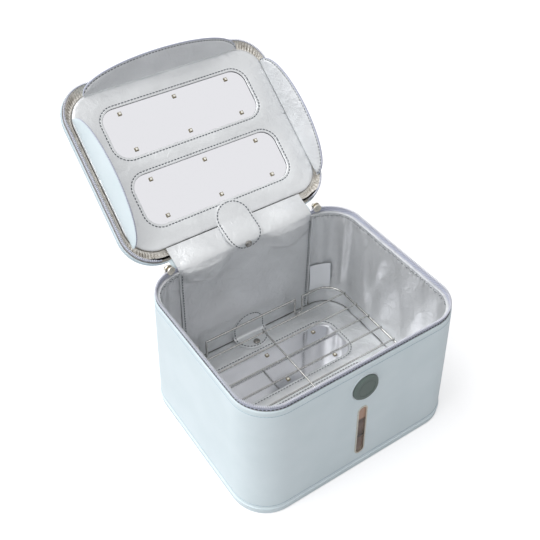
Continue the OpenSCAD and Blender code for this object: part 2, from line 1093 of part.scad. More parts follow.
module pull(s) {
    eye_w = bail_l - 4 * bail_r - 1;
    color(metal_colour)
        slider_place(s)
            translate([0, slider_out + slider_t + bail_out, 0])
                difference() {
                    union() {
                        translate([-eye_w / 2, 0, 0])
                            rotate([0, 90, 0])
                                cylinder(h = eye_w, r = eye_r, $fn = 32);
                        rotate([90, 0, 0])
                            translate([0, 0, -pull_t / 2])
                                linear_extrude(pull_t) {
                                    translate([0, -pull_l + pull_w / 2])
                                        circle(pull_w / 2, $fn = 48);
                                    translate([-pull_w / 2, -pull_l + pull_w / 2])
                                        square([pull_w, pull_l - pull_w / 2 - eye_r - 3]);
                                    translate([-eye_w / 2, -pull_l / 2])
                                        square([eye_w, pull_l / 2]);
                                }
                    }
                    rotate([0, 90, 0])
                        cylinder(h = pull_w, r = bail_r + 0.4, center = true, $fn = 32);
                    rotate([90, 0, 0])
                        translate([0, -pull_l + pull_w / 2, 0])
                            cylinder(h = 2 * pull_t, r = 1.6, center = true, $fn = 32);
                }
}

module left_slider() { slider(-1); }

module right_slider() { slider(1); }

module left_pull() { pull(-1); }

module right_pull() { pull(1); }

foot_z = floor_z + seat + rail_r + foot_w / 2;

// Round wire between two points that lie on a line along an axis
module rod(a, b, r) {
    v = b - a;
    translate(a)
        rotate([0, v[2] == 0 ? 90 : (v[2] < 0 ? 180 : 0), v[2] == 0 ? atan2(v[1], v[0]) : 0])
            cylinder(h = norm(v), r = r, $fn = 24);
}

// Half of the rack's front or back rail, from the middle to the corner, with its foot
module rail_half(sx, sy) {
    y = rack_y + sy * rack_d / 2;
    x0 = foot_x - foot_w / 2;
    x1 = foot_x + foot_w / 2;
    rod([0, y, rail_z], [sx * x0, y, rail_z], rail_r);
    rod([sx * x1, y, rail_z], [sx * (rack_w / 2 - rack_r), y, rail_z], rail_r);
    for (x = [x0, x1]) {
        translate([sx * x, y, rail_z]) sphere(rail_r, $fn = 24);
        rod([sx * x, y, foot_z], [sx * x, y, rail_z], rail_r);
    }
    translate([sx * foot_x, y, foot_z])
        rotate([90, 0, 0])
            rotate([0, 0, 180])
                rotate_extrude(angle = 180, $fn = 48)
                    translate([foot_w / 2, 0])
                        circle(rail_r, $fn = 24);
}

module rack_frame() {
    color("#b9bcbe") {
        for (sx = [-1, 1], sy = [-1, 1])
            rail_half(sx, sy);
        for (c = [0 : 3])
            translate([
                (c == 0 || c == 3 ? 1 : -1) * (rack_w / 2 - rack_r),
                rack_y + (c < 2 ? 1 : -1) * (rack_d / 2 - rack_r),
                rail_z
            ])
                rotate([0, 0, 90 * c])
                    rotate_extrude(angle = 90, $fn = 64)
                        translate([rack_r, 0])
                            circle(rail_r, $fn = 24);
        for (sx = [-1, 1])
            rod([sx * rack_w / 2, rack_y - rack_d / 2 + rack_r, rail_z],
                [sx * rack_w / 2, rack_y + rack_d / 2 - rack_r, rail_z], rail_r);
    }
}

wire_z = rail_z + rail_r + wire_r;
wire_gap = (rack_d - 2 * rack_r) / (wire_count - 1);

module rack_wires() {
    color("#b9bcbe")
        for (i = [0 : wire_count - 1])
            let (y = rack_y - rack_d / 2 + rack_r + i * wire_gap)
            rod([-rack_w / 2 - 1, y, wire_z], [rack_w / 2 + 1, y, wire_z], wire_r);
}

module rack_brace() {
    color("#b9bcbe")
        rod([0, rack_y - rack_d / 2 + rack_r - 3, wire_z + 2 * wire_r],
            [0, rack_y + rack_d / 2 - rack_r + 3, wire_z + 2 * wire_r], wire_r);
}

base_panel();
base_board();
base_welt();
outer_shell();
wall_board();
wall_liner();
back_liner();
seam_piping();
body_zip_tape();
body_zip_coil();
floor_pad();
floor_reflectors();
floor_led_boards();
floor_leds();
control_housing();
control_board();
button_switch();
lid_sensor();
light_strip();
indicator_window();
indicator_bezel();
button_bezel();
power_button();
power_socket();
wiring_loom();
blank_label();
hinge_strip();
hinge_lining();
upper_tab();
upper_snap();
lower_tab();
lower_snap();
lid_shell();
lid_board();
lid_core();
lid_liner();
lid_gusset();
lid_reflectors();
lid_led_boards();
lid_leds();
lid_magnet();
lid_zip_tape();
lid_zip_coil();
front_flap();
front_flap_lining();
left_flap();
left_flap_lining();
right_flap();
right_flap_lining();
left_slider();
right_slider();
left_pull();
right_pull();
rack_frame();
rack_wires();
rack_brace();
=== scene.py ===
import bpy
import math
from mathutils import Matrix, Vector


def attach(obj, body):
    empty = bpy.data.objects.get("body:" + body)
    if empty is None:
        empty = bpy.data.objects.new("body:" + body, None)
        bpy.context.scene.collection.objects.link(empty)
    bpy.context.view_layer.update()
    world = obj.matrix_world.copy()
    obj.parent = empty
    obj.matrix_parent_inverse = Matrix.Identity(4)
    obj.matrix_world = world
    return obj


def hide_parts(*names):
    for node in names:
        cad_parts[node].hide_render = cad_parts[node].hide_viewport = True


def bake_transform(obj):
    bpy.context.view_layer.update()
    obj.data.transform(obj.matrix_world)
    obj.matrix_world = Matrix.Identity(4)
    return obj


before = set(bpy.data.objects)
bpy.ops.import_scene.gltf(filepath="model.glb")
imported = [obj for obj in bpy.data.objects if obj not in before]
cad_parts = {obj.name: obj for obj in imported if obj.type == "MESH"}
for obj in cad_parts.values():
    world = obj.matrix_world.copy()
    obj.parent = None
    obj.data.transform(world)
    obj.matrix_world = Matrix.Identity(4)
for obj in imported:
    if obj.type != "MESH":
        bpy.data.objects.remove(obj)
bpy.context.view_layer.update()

# Camera and studio
# A plain product set: white sweep, one large soft lamp from behind left and a soft sky of light.
# The camera looks down on the open case from its front left, with the long lens of such photographs.


def linear(code):
    """sRGB hex to a linear colour."""
    parts = [int(code[i:i + 2], 16) / 255 for i in (1, 3, 5)]
    return [p / 12.92 if p <= 0.04045 else ((p + 0.055) / 1.055) ** 2.4 for p in parts] + [1.0]


def put(tree, kind, values=(), links=(), **settings):
    """Adds one shader node with its settings, socket values and links."""
    node = tree.nodes.new(kind)
    for name, value in settings.items():
        setattr(node, name, value)
    for socket, value in dict(values).items():
        node.inputs[socket].default_value = value
    for socket, source in dict(links).items():
        tree.links.new(source, node.inputs[socket])
    return node


def new_material(name):
    """Empty material with its output; returns the material, its tree and its output node."""
    made = bpy.data.materials.new(name)
    made.use_nodes = True
    made.node_tree.nodes.clear()
    return made, made.node_tree, put(made.node_tree, "ShaderNodeOutputMaterial")


camera_data = bpy.data.cameras.new("camera")
camera_data.lens = 55.756
camera_data.sensor_width = 36
camera_data.clip_start = 0.05
camera_data.clip_end = 30
camera_data.shift_x = -0.00491
camera_data.shift_y = -0.05828
camera = bpy.data.objects.new("camera", camera_data)
bpy.context.scene.collection.objects.link(camera)
turn, tilt, roll = math.radians(-34.3466), math.radians(40.3980), math.radians(0.3627)
behind = Vector((math.sin(turn) * math.cos(tilt), -math.cos(turn) * math.cos(tilt), math.sin(tilt)))
level = Vector((math.cos(turn), math.sin(turn), 0))
upward = behind.cross(level)
aside = math.cos(roll) * level + math.sin(roll) * upward
above = -math.sin(roll) * level + math.cos(roll) * upward
spot = 1.03602 * behind - 0.031896 * aside + 0.193703 * above
camera.matrix_world = Matrix((
    (aside.x, above.x, behind.x, spot.x),
    (aside.y, above.y, behind.y, spot.y),
    (aside.z, above.z, behind.z, spot.z),
    (0, 0, 0, 1),
))
bpy.context.scene.camera = camera
bpy.context.scene.view_settings.view_transform = "Standard"

world = bpy.data.worlds.new("studio")
bpy.context.scene.world = world
world.use_nodes = True
tree = world.node_tree
tree.nodes.clear()
path = put(tree, "ShaderNodeLightPath")
seen = path.outputs["Is Camera Ray"]
for ray in ("Is Transmission Ray", "Is Glossy Ray"):
    seen = put(tree, "ShaderNodeMath", {}, {0: seen, 1: path.outputs[ray]}, operation="MAXIMUM").outputs[0]
coords = put(tree, "ShaderNodeTexCoord")
split = put(tree, "ShaderNodeSeparateXYZ", {}, {0: coords.outputs["Generated"]})
sky = put(tree, "ShaderNodeMapRange", {"From Min": -0.2, "From Max": 0.9, "To Min": 0.35, "To Max": 0.66},
          {"Value": split.outputs["Z"]})
side = put(tree, "ShaderNodeMapRange", {"From Min": -1.0, "From Max": 1.0, "To Min": 1.25, "To Max": 0.72},
           {"Value": split.outputs["X"]})
both = put(tree, "ShaderNodeMath", {}, {0: sky.outputs[0], 1: side.outputs[0]}, operation="MULTIPLY")
level_of = put(tree, "ShaderNodeMix", {"B": 1.0}, {"Factor": seen, "A": both.outputs[0]})
glow = put(tree, "ShaderNodeBackground", {"Color": linear("#ffffff")}, {"Strength": level_of.outputs[0]})
put(tree, "ShaderNodeOutputWorld", {}, {"Surface": glow.outputs[0]})

lamp_data = bpy.data.lights.new("key_lamp", "SUN")
lamp_data.energy = 2.2
lamp_data.angle = math.radians(58)
lamp = bpy.data.objects.new("key_lamp", lamp_data)
bpy.context.scene.collection.objects.link(lamp)
lamp.matrix_world = Vector((-0.56, 0.27, 0.80)).to_track_quat("Z", "Y").to_matrix().to_4x4()

bpy.ops.object.select_all(action="DESELECT")
bpy.ops.mesh.primitive_plane_add(size=8, location=(0, 0, -0.0002))
floor = bpy.context.object
floor.name = "studio_floor"
paper, tree, out = new_material("white_background_paper")
path = put(tree, "ShaderNodeLightPath")
matt = put(tree, "ShaderNodeBsdfDiffuse", {"Color": linear("#cfcfd1")})
lift = put(tree, "ShaderNodeMath", {1: 0.54}, {0: path.outputs["Is Camera Ray"]}, operation="MULTIPLY")
glow = put(tree, "ShaderNodeEmission", {"Color": linear("#ffffff")}, {"Strength": lift.outputs[0]})
both = put(tree, "ShaderNodeAddShader", {}, {0: matt.outputs[0], 1: glow.outputs[0]})
tree.links.new(both.outputs[0], out.inputs["Surface"])
floor.data.materials.append(paper)

# Base pan and welt
# A tray of leatherette-covered board that closes the case underneath. It is folded up 8 mm all round
# and sewn to the wall through a narrow welt.
MM = 0.001
HALF_X, HALF_Y, CORNER = 97.0, 74.0, 43.0
BACK = HALF_Y + CORNER
WALL_TOP, TAPER = 168.0, 4.0
ARC = math.pi / 2 * CORNER
ROUND = 4 * (HALF_X + HALF_Y) + 4 * ARC


def flare(z):
    """How far the tapered wall stands outside the rim at height z, mm."""
    return TAPER * (1 - z / WALL_TOP)


def rim(s, out=0.0, spread=0.0):
    """Point and outward direction at s mm round the rim, from the middle of the back to the left."""
    s = s % ROUND
    x, y = HALF_X + spread, HALF_Y + spread
    legs = ((HALF_X, (0, y), (-x, y)), (2 * HALF_Y, (-x, y), (-x, -y)), (2 * HALF_X, (-x, -y), (x, -y)),
            (2 * HALF_Y, (x, -y), (x, y)), (HALF_X, (x, y), (0, y)))
    for k, (length, a, b) in enumerate(legs):
        facing = math.radians(90 + 90 * k)
        way = Vector((math.cos(facing), math.sin(facing)))
        if s <= length:
            at = Vector(a).lerp(Vector(b), s / length)
            break
        s -= length
        if s <= ARC:
            facing += s / CORNER
            way = Vector((math.cos(facing), math.sin(facing)))
            at = Vector(b)
            break
        s -= ARC
    return at + way * (CORNER + out), way


def steps(start, end, size):
    """Evenly spaced numbers from start to end, about size apart."""
    count = max(1, round(abs(end - start) / size))
    return [start + (end - start) * i / count for i in range(count + 1)]


def cloth(name, us, vs, place, closed=False, thickness=0.0, offset=-1.0):
    """A primitive grid whose points are laid at place(u, v) in mm, welded if closed, given its thickness."""
    bpy.ops.object.select_all(action="DESELECT")
    bpy.ops.mesh.primitive_grid_add(x_subdivisions=len(us) - 1, y_subdivisions=len(vs) - 1, size=2)
    made = bpy.context.object
    made.name = name
    made.data.name = name
    for v in made.data.vertices:
        i = round((v.co.x + 1) / 2 * (len(us) - 1))
        j = round((v.co.y + 1) / 2 * (len(vs) - 1))
        v.co = Vector(place(us[i], vs[j])) * MM
    if closed:
        weld(made)
    if thickness:
        solid = made.modifiers.new("thickness", "SOLIDIFY")
        solid.thickness = thickness * MM
        solid.offset = offset
        bpy.ops.object.modifier_apply(modifier="thickness")
    bpy.ops.object.shade_smooth_by_angle(angle=math.radians(40))
    return made


def weld(made, outward=False):
    """Joins points that lie together, and turns the faces outwards if asked."""
    bpy.context.view_layer.objects.active = made
    bpy.ops.object.mode_set(mode="EDIT")
    bpy.ops.mesh.select_all(action="SELECT")
    bpy.ops.mesh.remove_doubles(threshold=0.00001)
    bpy.ops.mesh.dissolve_degenerate(threshold=0.000005)
    if outward:
        bpy.ops.mesh.normals_make_consistent(inside=False)
    bpy.ops.object.mode_set(mode="OBJECT")


def finish(made, body, slot, material, *nodes):
    """Gives a piece its material and its body, and hides the CAD nodes it stands for; its slot is not used.
    """
    if not made.data.materials:
        made.data.materials.append(material)
    if body:
        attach(made, body)
    if nodes:
        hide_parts(*nodes)
    return made


def pick_edges(made, test):
    """Leaves the piece in edit mode with only the edges selected whose two ends pass the test."""
    bpy.context.view_layer.objects.active = made
    bpy.ops.object.mode_set(mode="EDIT")
    bpy.ops.mesh.select_mode(type="EDGE")
    bpy.ops.mesh.select_all(action="DESELECT")
    bpy.ops.object.mode_set(mode="OBJECT")
    for edge in made.data.edges:
        edge.select = test(*[made.data.vertices[i].co for i in edge.vertices])
    bpy.ops.object.mode_set(mode="EDIT")


# PU leatherette, calendered with a fine pebble grain about 1.2 mm apart: satin, with a faint mottling
# of the coat and slightly glossier tops of the grain.
leatherette, tree, out = new_material("pu_leatherette_embossed")
coords = put(tree, "ShaderNodeTexCoord")
mottle = put(tree, "ShaderNodeTexNoise", {"Scale": 26.0, "Detail": 3.0}, {"Vector": coords.outputs["Object"]})
tint = put(tree, "ShaderNodeValToRGB", {}, {"Fac": mottle.outputs["Fac"]})
tint.color_ramp.elements[0].color = linear("#d9e6eb")
tint.color_ramp.elements[0].position = 0.35
tint.color_ramp.elements[1].color = linear("#deeaef")
tint.color_ramp.elements[1].position = 0.65
grain = put(tree, "ShaderNodeTexVoronoi", {"Scale": 850.0}, {"Vector": coords.outputs["Object"]})
bump = put(tree, "ShaderNodeBump", {"Strength": 0.09, "Distance": 0.00012},
           {"Height": grain.outputs["Distance"]})
gloss = put(tree, "ShaderNodeMapRange", {"From Min": 0.2, "From Max": 0.8, "To Min": 0.46, "To Max": 0.56},
            {"Value": mottle.outputs["Fac"]})
coat = put(tree, "ShaderNodeBsdfPrincipled", {"Specular IOR Level": 0.4, "Sheen Weight": 0.08, "IOR": 1.47},
           {"Base Color": tint.outputs[0], "Roughness": gloss.outputs[0], "Normal": bump.outputs[0]})
tree.links.new(coat.outputs[0], out.inputs["Surface"])

bpy.ops.object.select_all(action="DESELECT")
bpy.ops.mesh.primitive_plane_add(size=1)
base_pan = bpy.context.object
base_pan.name = "base_pan_leather"
bpy.ops.object.mode_set(mode="EDIT")
bpy.ops.transform.resize(value=(0.2878, 0.2418, 1))
bpy.ops.mesh.bevel(offset=0.043, segments=14, affect="VERTICES")
bpy.ops.mesh.select_all(action="SELECT")
bpy.ops.mesh.extrude_region_move(TRANSFORM_OT_translate={"value": (0, 0, 0.0081)})
bpy.ops.mesh.delete(type="ONLY_FACE")
bpy.ops.mesh.select_all(action="SELECT")
bpy.ops.mesh.normals_make_consistent(inside=False)
bpy.ops.object.mode_set(mode="OBJECT")
pick_edges(base_pan, lambda a, b: max(a.z, b.z) < 0.001)
bpy.ops.mesh.bevel(offset=0.0018, segments=4)
bpy.ops.mesh.select_mode(type="VERT")
bpy.ops.object.mode_set(mode="OBJECT")
shell = base_pan.modifiers.new("thickness", "SOLIDIFY")
shell.thickness = 0.0012
shell.offset = -1
bpy.ops.object.modifier_apply(modifier="thickness")
bpy.ops.object.shade_smooth_by_angle(angle=math.radians(40))
finish(base_pan, "case", "leather", leatherette, "base_panel")


WELT_Z = 8.8


def welt_place(s, a):
    """Point at angle a round the welt's oval section, 2 mm wide and 1.8 mm high."""
    at, way = rim(s, -0.25, flare(WELT_Z))
    out = 1.0 * math.cos(a)
    return (at.x + way.x * out, at.y + way.y * out, WELT_Z + 0.9 * math.sin(a))


def turn_of(sides):
    """Angles once round a section of that many sides."""
    return [2 * math.pi * k / sides for k in range(sides + 1)]


welt = cloth("base_welt_piping", steps(0, ROUND, 5), turn_of(8), welt_place, closed=True)
finish(welt, "case", "leather", leatherette, "base_welt")

# Wall of the case
# One strip of the same leatherette round the whole case, closed at the back, lightly pulled in by the
# two rows of stitches. It is cut out for the button ring, the light slot and the power inlet.


FOOT_ROW, TOP_ROW = 13.4, 161.0


def wall_out(s, z):
    """Pull of the stitch rows and soft fullness between them, mm."""
    pull = sum(0.32 * math.exp(-((z - row) / 1.3) ** 2) for row in (TOP_ROW, FOOT_ROW))
    full = 0.0
    if FOOT_ROW < z < TOP_ROW:
        full = 0.35 * math.sin(math.pi * (z - FOOT_ROW) / (TOP_ROW - FOOT_ROW)) ** 0.5
    ripple = 0.05 * math.sin(s / 17.0 + z / 31.0)
    return full + ripple - pull


def wall_place(s, z):
    turned = -0.5 * max(0, min(z, WALL_TOP) - 167.0) ** 2 - 3.2 * max(0, z - 168.1)
    at, way = rim(s, wall_out(s, z) + turned - 0.3, flare(z))
    return (at.x, at.y, min(z, 168.25))


levels = [9.5, 10.2, 11.4, 12.5, 13.4, 14.3, 15.4, 18] + steps(24, 150, 6) + \
         [155, 158.5, 160, 161, 162, 163.5, 166, 167, 167.6, 168, 168.2, 168.4]
wall = cloth("wall_leather", steps(0, ROUND, 4), levels, wall_place, closed=True, thickness=1.0)


CONTROLS_X, BUTTON_Z, SLOT_Z = -3.0, 137.0, 65.0


def on_front(z):
    """Matrix of the leaning front wall at height z on the controls' line: local +Y points into the case."""
    lean = math.atan(TAPER / WALL_TOP)
    return Matrix.Translation(Vector((CONTROLS_X, -BACK - flare(z), z)) * MM) @ Matrix.Rotation(-lean, 4, "X")


def cut_out(made, tool):
    """Takes the tool's shape out of the piece and removes the tool."""
    bpy.context.view_layer.objects.active = made
    hole = made.modifiers.new("hole", "BOOLEAN")
    hole.operation = "DIFFERENCE"
    hole.object = tool
    hole.solver = "EXACT"
    bpy.ops.object.modifier_apply(modifier="hole")
    bpy.data.objects.remove(tool)


bpy.ops.mesh.primitive_cylinder_add(vertices=72, radius=0.0183, depth=0.012, rotation=(math.pi / 2, 0, 0))
drill = bpy.context.object
bpy.ops.object.transform_apply(location=True, rotation=True, scale=True)
drill.data.transform(on_front(BUTTON_Z))
cut_out(wall, drill)
bpy.ops.mesh.primitive_cube_add(size=1)
drill = bpy.context.object
drill.scale = (0.0136, 0.012, 0.080)
bpy.ops.object.transform_apply(location=True, rotation=True, scale=True)
pick_edges(drill, lambda a, b: abs(a.y - b.y) > 0.01)
bpy.ops.mesh.bevel(offset=0.00679, segments=12)
bpy.ops.mesh.select_mode(type="VERT")
bpy.ops.object.mode_set(mode="OBJECT")
drill.data.transform(on_front(SLOT_Z))
cut_out(wall, drill)
bpy.ops.mesh.primitive_cylinder_add(vertices=48, radius=0.006, depth=0.012, location=(0.070, 0.12028, 0.030),
                                    rotation=(math.pi / 2, 0, 0))
drill = bpy.context.object
bpy.ops.object.transform_apply(location=True, rotation=True, scale=True)
cut_out(wall, drill)
finish(wall, "case", "leather", leatherette, "outer_shell")

# Bonded polyester thread in the leatherette's own tone: a soft highlight on each stitch.
pale_thread, tree, out = new_material("polyester_thread_pale")
coords = put(tree, "ShaderNodeTexCoord")
fibre = put(tree, "ShaderNodeTexNoise", {"Scale": 1400.0}, {"Vector": coords.outputs["Object"]})
bump = put(tree, "ShaderNodeBump", {"Strength": 0.3, "Distance": 0.0001}, {"Height": fibre.outputs["Fac"]})
yarn = put(tree, "ShaderNodeBsdfPrincipled", {"Base Color": linear("#b3c6d0"), "Roughness": 0.6},
           {"Normal": bump.outputs[0]})
tree.links.new(yarn.outputs[0], out.inputs["Surface"])

bpy.ops.object.select_all(action="DESELECT")
bpy.ops.mesh.primitive_cube_add(size=1)
one_stitch = bpy.context.object
bpy.ops.object.mode_set(mode="EDIT")
bpy.ops.mesh.select_all(action="SELECT")
bpy.ops.mesh.subdivide(number_cuts=1, smoothness=1.0)
bpy.ops.object.mode_set(mode="OBJECT")
STITCH = [v.co.copy() for v in one_stitch.data.vertices]
STITCH_FACES = [tuple(p.vertices) for p in one_stitch.data.polygons]
bpy.data.objects.remove(one_stitch)


def copies(name, shape, faces, places):
    """One mesh of many copies of a small modelled shape, one at each matrix."""
    points, polygons = [], []
    for place in places:
        first = len(points)
        points.extend(place @ p for p in shape)
        polygons.extend([tuple(first + i for i in f) for f in faces])
    mesh = bpy.data.meshes.new(name)
    mesh.from_pydata(points, [], polygons)
    made = bpy.data.objects.new(name, mesh)
    bpy.context.scene.collection.objects.link(made)
    for p in mesh.polygons:
        p.use_smooth = True
    return made


def stitch_places(line, pitch, long, wide, high):
    """Matrices of stitches along line, a list of (point, outward direction) in mm, closely spaced."""
    places, due = [], pitch / 2
    for (p, n), (q, m) in zip(line, line[1:]):
        p, q = Vector(p), Vector(q)
        gap = (q - p).length
        while gap > 0 and due <= gap:
            along = (q - p).normalized()
            up = Vector(n).lerp(Vector(m), due / gap).normalized()
            across = up.cross(along).normalized()
            at = p.lerp(q, due / gap) * MM
            turn = Matrix((along, across, up)).transposed().to_4x4()
            size = Matrix.Diagonal((long * MM, wide * MM, high * MM, 1))
            places.append(Matrix.Translation(at) @ turn @ size)
            due += pitch
        due -= gap
    return places


# Pitch, length, width and height of a stitch on the leatherette, mm.
WALL_STITCH = (3.4, 2.5, 0.55, 0.5)


def wall_row(z):
    """Line of the stitches at height z, left out where they would cross the button's ring."""
    row = []
    for s in steps(0, ROUND, 3):
        at, way = rim(s, wall_out(s, z) - 0.28, flare(z))
        if not (way.y < -0.9 and abs(at.x - CONTROLS_X) < 19 and abs(z - BUTTON_Z) < 20):
            row.append(((at.x, at.y, z), (way.x, way.y, 0)))
    return row


places = stitch_places(wall_row(TOP_ROW), *WALL_STITCH) + stitch_places(wall_row(FOOT_ROW), *WALL_STITCH)
finish(copies("wall_stitches", STITCH, STITCH_FACES, places), "case", "leather", pale_thread)

# Zipper of the case
# A woven polyester tape stands up inside the leather edge and carries a nylon coil, its turns 2.2 mm apart.
# The tape is sewn between wall and lining, and stops at the two rear corners beside the hinge.
ZIP_FROM, ZIP_TO = HALF_X + 1, ROUND - HALF_X - 1

# Woven polyester tape: a fine herringbone, drawn at 1.5 mm because the real 0.4 mm is too fine to show.
zip_tape, tree, out = new_material("polyester_tape_woven")
coords = put(tree, "ShaderNodeTexCoord")
warp = put(tree, "ShaderNodeTexWave", {"Scale": 210.0, "Distortion": 1.5, "Detail": 1.0},
           {"Vector": coords.outputs["Object"]}, bands_direction="DIAGONAL")
shade = put(tree, "ShaderNodeValToRGB", {}, {"Fac": warp.outputs["Fac"]})
shade.color_ramp.elements[0].color = linear("#a3a7ba")
shade.color_ramp.elements[1].color = linear("#c6c9d8")
bump = put(tree, "ShaderNodeBump", {"Strength": 0.25, "Distance": 0.0002}, {"Height": warp.outputs["Fac"]})
weave = put(tree, "ShaderNodeBsdfPrincipled", {"Roughness": 0.75, "Sheen Weight": 0.15},
            {"Base Color": shade.outputs[0], "Normal": bump.outputs[0]})
tree.links.new(weave.outputs[0], out.inputs["Surface"])

# Nylon coil: drawn monofilament, smooth, a little darker in its gaps.
zip_coil, tree, out = new_material("nylon_coil")
filament = put(tree, "ShaderNodeBsdfPrincipled", {"Base Color": linear("#d3d5df"), "Roughness": 0.38})
coords = put(tree, "ShaderNodeTexCoord")
streak = put(tree, "ShaderNodeTexNoise", {"Scale": 900.0}, {"Vector": coords.outputs["Object"]})
rough = put(tree, "ShaderNodeMapRange", {"To Min": 0.32, "To Max": 0.46}, {"Value": streak.outputs["Fac"]})
tree.links.new(rough.outputs[0], filament.inputs["Roughness"])
tree.links.new(filament.outputs[0], out.inputs["Surface"])


def tape_place(s, z):
    at, way = rim(s, -2.3 + 0.12 * math.sin(s / 6.3), 0)
    return (at.x, at.y, z)


TAPE_END = 8.0
tape = cloth("case_zip_tape", steps(ZIP_FROM - TAPE_END, ZIP_TO + TAPE_END, 4),
             [165, 168.6, 170.5, 172, 173.6], tape_place, thickness=0.8)
finish(tape, "case", "tape", zip_tape, "body_zip_tape")

bpy.ops.object.select_all(action="DESELECT")
bpy.ops.mesh.primitive_cylinder_add(vertices=8, radius=0.0007, depth=0.0024, rotation=(0, math.pi / 2, 0))
one_turn = bpy.context.object
bpy.ops.object.transform_apply(location=True, rotation=True, scale=True)
bpy.ops.object.mode_set(mode="EDIT")
bpy.ops.mesh.select_all(action="SELECT")
bpy.ops.transform.resize(value=(1, 1, 1.5))
bpy.ops.mesh.subdivide(number_cuts=1)
bpy.ops.object.mode_set(mode="OBJECT")
for v in one_turn.data.vertices:
    v.co.z *= 1 - 0.25 * (abs(v.co.x) / 0.0012) ** 2
TURN = [v.co.copy() for v in one_turn.data.vertices]
TURN_FACES = [tuple(p.vertices) for p in one_turn.data.polygons]
bpy.data.objects.remove(one_turn)


def coil_places(z, start, end):
    """A matrix for each turn of the coil: local X across the tape, slightly slanted along it."""
    places = []
    for s in steps(start, end, 2.2):
        at, way = rim(s, -2.5, 0)
        out_way = Vector((way.x, way.y, 0))
        along = Vector((-way.y, way.x, 0))
        out_way = (out_way + 0.28 * along).normalized()
        turn = Matrix((out_way, Vector((0, 0, 1)).cross(out_way), (0, 0, 1))).transposed().to_4x4()
        places.append(Matrix.Translation(Vector((at.x, at.y, z)) * MM) @ turn)
    return places


teeth = copies("case_zip_coil", TURN, TURN_FACES, coil_places(174.3, ZIP_FROM, ZIP_TO))
finish(teeth, "case", "tape", zip_coil, "body_zip_coil")

# Silver lining of the wall
# Silver-coated polyester cloth on thin foam, hung from the zipper seam and tucked in at the floor.
# It puckers along its stitched top edge and hangs in soft upright folds, most of them on the right.

# Aluminium-coated polyester: a soft metal sheen broken by wrinkles from 13 mm down to 2 mm across and by a
# weave of 0.35 mm, drawn at 0.9 mm so that it shows.
silver_cloth, tree, out = new_material("silver_coated_polyester")
coords = put(tree, "ShaderNodeTexCoord")
cloud = put(tree, "ShaderNodeTexNoise", {"Scale": 14.0, "Detail": 4.0, "Distortion": 0.4},
            {"Vector": coords.outputs["Object"]})
shade = put(tree, "ShaderNodeValToRGB", {}, {"Fac": cloud.outputs["Fac"]})
shade.color_ramp.elements[0].position = 0.3
shade.color_ramp.elements[0].color = linear("#d2d4d6")
shade.color_ramp.elements[1].position = 0.7
shade.color_ramp.elements[1].color = linear("#e2e4e6")
wrinkle = put(tree, "ShaderNodeTexNoise", {"Scale": 75.0, "Detail": 3.0, "Distortion": 1.2},
              {"Vector": coords.outputs["Object"]})
threads = put(tree, "ShaderNodeTexNoise", {"Scale": 1100.0, "Detail": 1.0},
              {"Vector": coords.outputs["Object"]})
low = put(tree, "ShaderNodeBump", {"Strength": 0.8, "Distance": 0.0012}, {"Height": wrinkle.outputs["Fac"]})
fine = put(tree, "ShaderNodeBump", {"Strength": 0.5, "Distance": 0.0004},
           {"Height": threads.outputs["Fac"], "Normal": low.outputs[0]})
gloss = put(tree, "ShaderNodeMapRange", {"From Min": 0.3, "From Max": 0.7, "To Min": 0.34, "To Max": 0.48},
            {"Value": wrinkle.outputs["Fac"]})
film = put(tree, "ShaderNodeBsdfPrincipled", {"Metallic": 0.62, "Sheen Weight": 0.05},
           {"Base Color": shade.outputs[0], "Roughness": gloss.outputs[0], "Normal": fine.outputs[0]})
tree.links.new(film.outputs[0], out.inputs["Surface"])

# Grey thread that sinks into the lining: each stitch reads as a small dark dash.
grey_thread, tree, out = new_material("polyester_thread_grey")
coords = put(tree, "ShaderNodeTexCoord")
fibre = put(tree, "ShaderNodeTexNoise", {"Scale": 1400.0}, {"Vector": coords.outputs["Object"]})
bump = put(tree, "ShaderNodeBump", {"Strength": 0.3, "Distance": 0.0001}, {"Height": fibre.outputs["Fac"]})
yarn = put(tree, "ShaderNodeBsdfPrincipled", {"Base Color": linear("#565c62"), "Roughness": 0.7},
           {"Normal": bump.outputs[0]})
tree.links.new(yarn.outputs[0], out.inputs["Surface"])

# Each fold in mm: place round the rim at its top, drift by the floor, half-width, depth, lowest height.
FOLDS = (
    (650, 46, 13, 1.5, 20), (672, -30, 9, -1.3, 40), (690, 52, 15, 1.7, 10), (716, -34, 10, -1.6, 20),
    (728, 40, 8, 2.3, 60), (744, -26, 12, 1.9, 15), (760, 34, 7, -2.2, 70), (772, -18, 8, 2.4, 25),
    (792, 12, 6, -2.0, 20), (808, -6, 8, 2.6, 15), (826, 6, 6, -1.6, 15), (842, -2, 6, 1.8, 20),
    (120, 6, 6, 1.6, 40), (150, -10, 8, 1.8, 60), (185, 18, 10, -1.4, 60), (230, -20, 11, 1.4, 50),
    (300, 14, 12, -1.4, 50), (360, 16, 10, 1.5, 60), (420, 10, 13, 1.2, 60), (500, -12, 15, -1.2, 60),
    (580, 14, 12, 1.2, 60), (622, 10, 8, 1.3, 60),
)


def lining_in(s, z):
    """How far the lining stands into the case beyond its CAD face, mm: folds, puckers and the tuck below."""
    into = 0.0
    for top, drift, half, deep, low in FOLDS:
        middle = top + drift * (WALL_TOP - z) / 157
        fade = min(1, max(0, (z - low) / 40)) * min(1, max(0, (165 - z) / 16))
        into += deep * fade * math.exp(-((s - middle) / half) ** 2)
    pucker = math.exp(-((z - 162.5) / 4.5) ** 2)
    into += 0.9 * pucker * math.sin(2 * math.pi * s / 7.0 + 1.3 * math.sin(s / 9.0))
    into += 0.5 * pucker * math.sin(s / 7.7) - 0.6 * math.exp(-((z - 163.5) / 0.9) ** 2)
    tuck = max(0, 1 - (z - 11) / 14)
    return into + 0.7 + 1.4 * tuck * tuck + 0.5 * tuck * math.sin(s / 5.1)


LINING_FACE, LINING_ROW = 6.0, 163.5


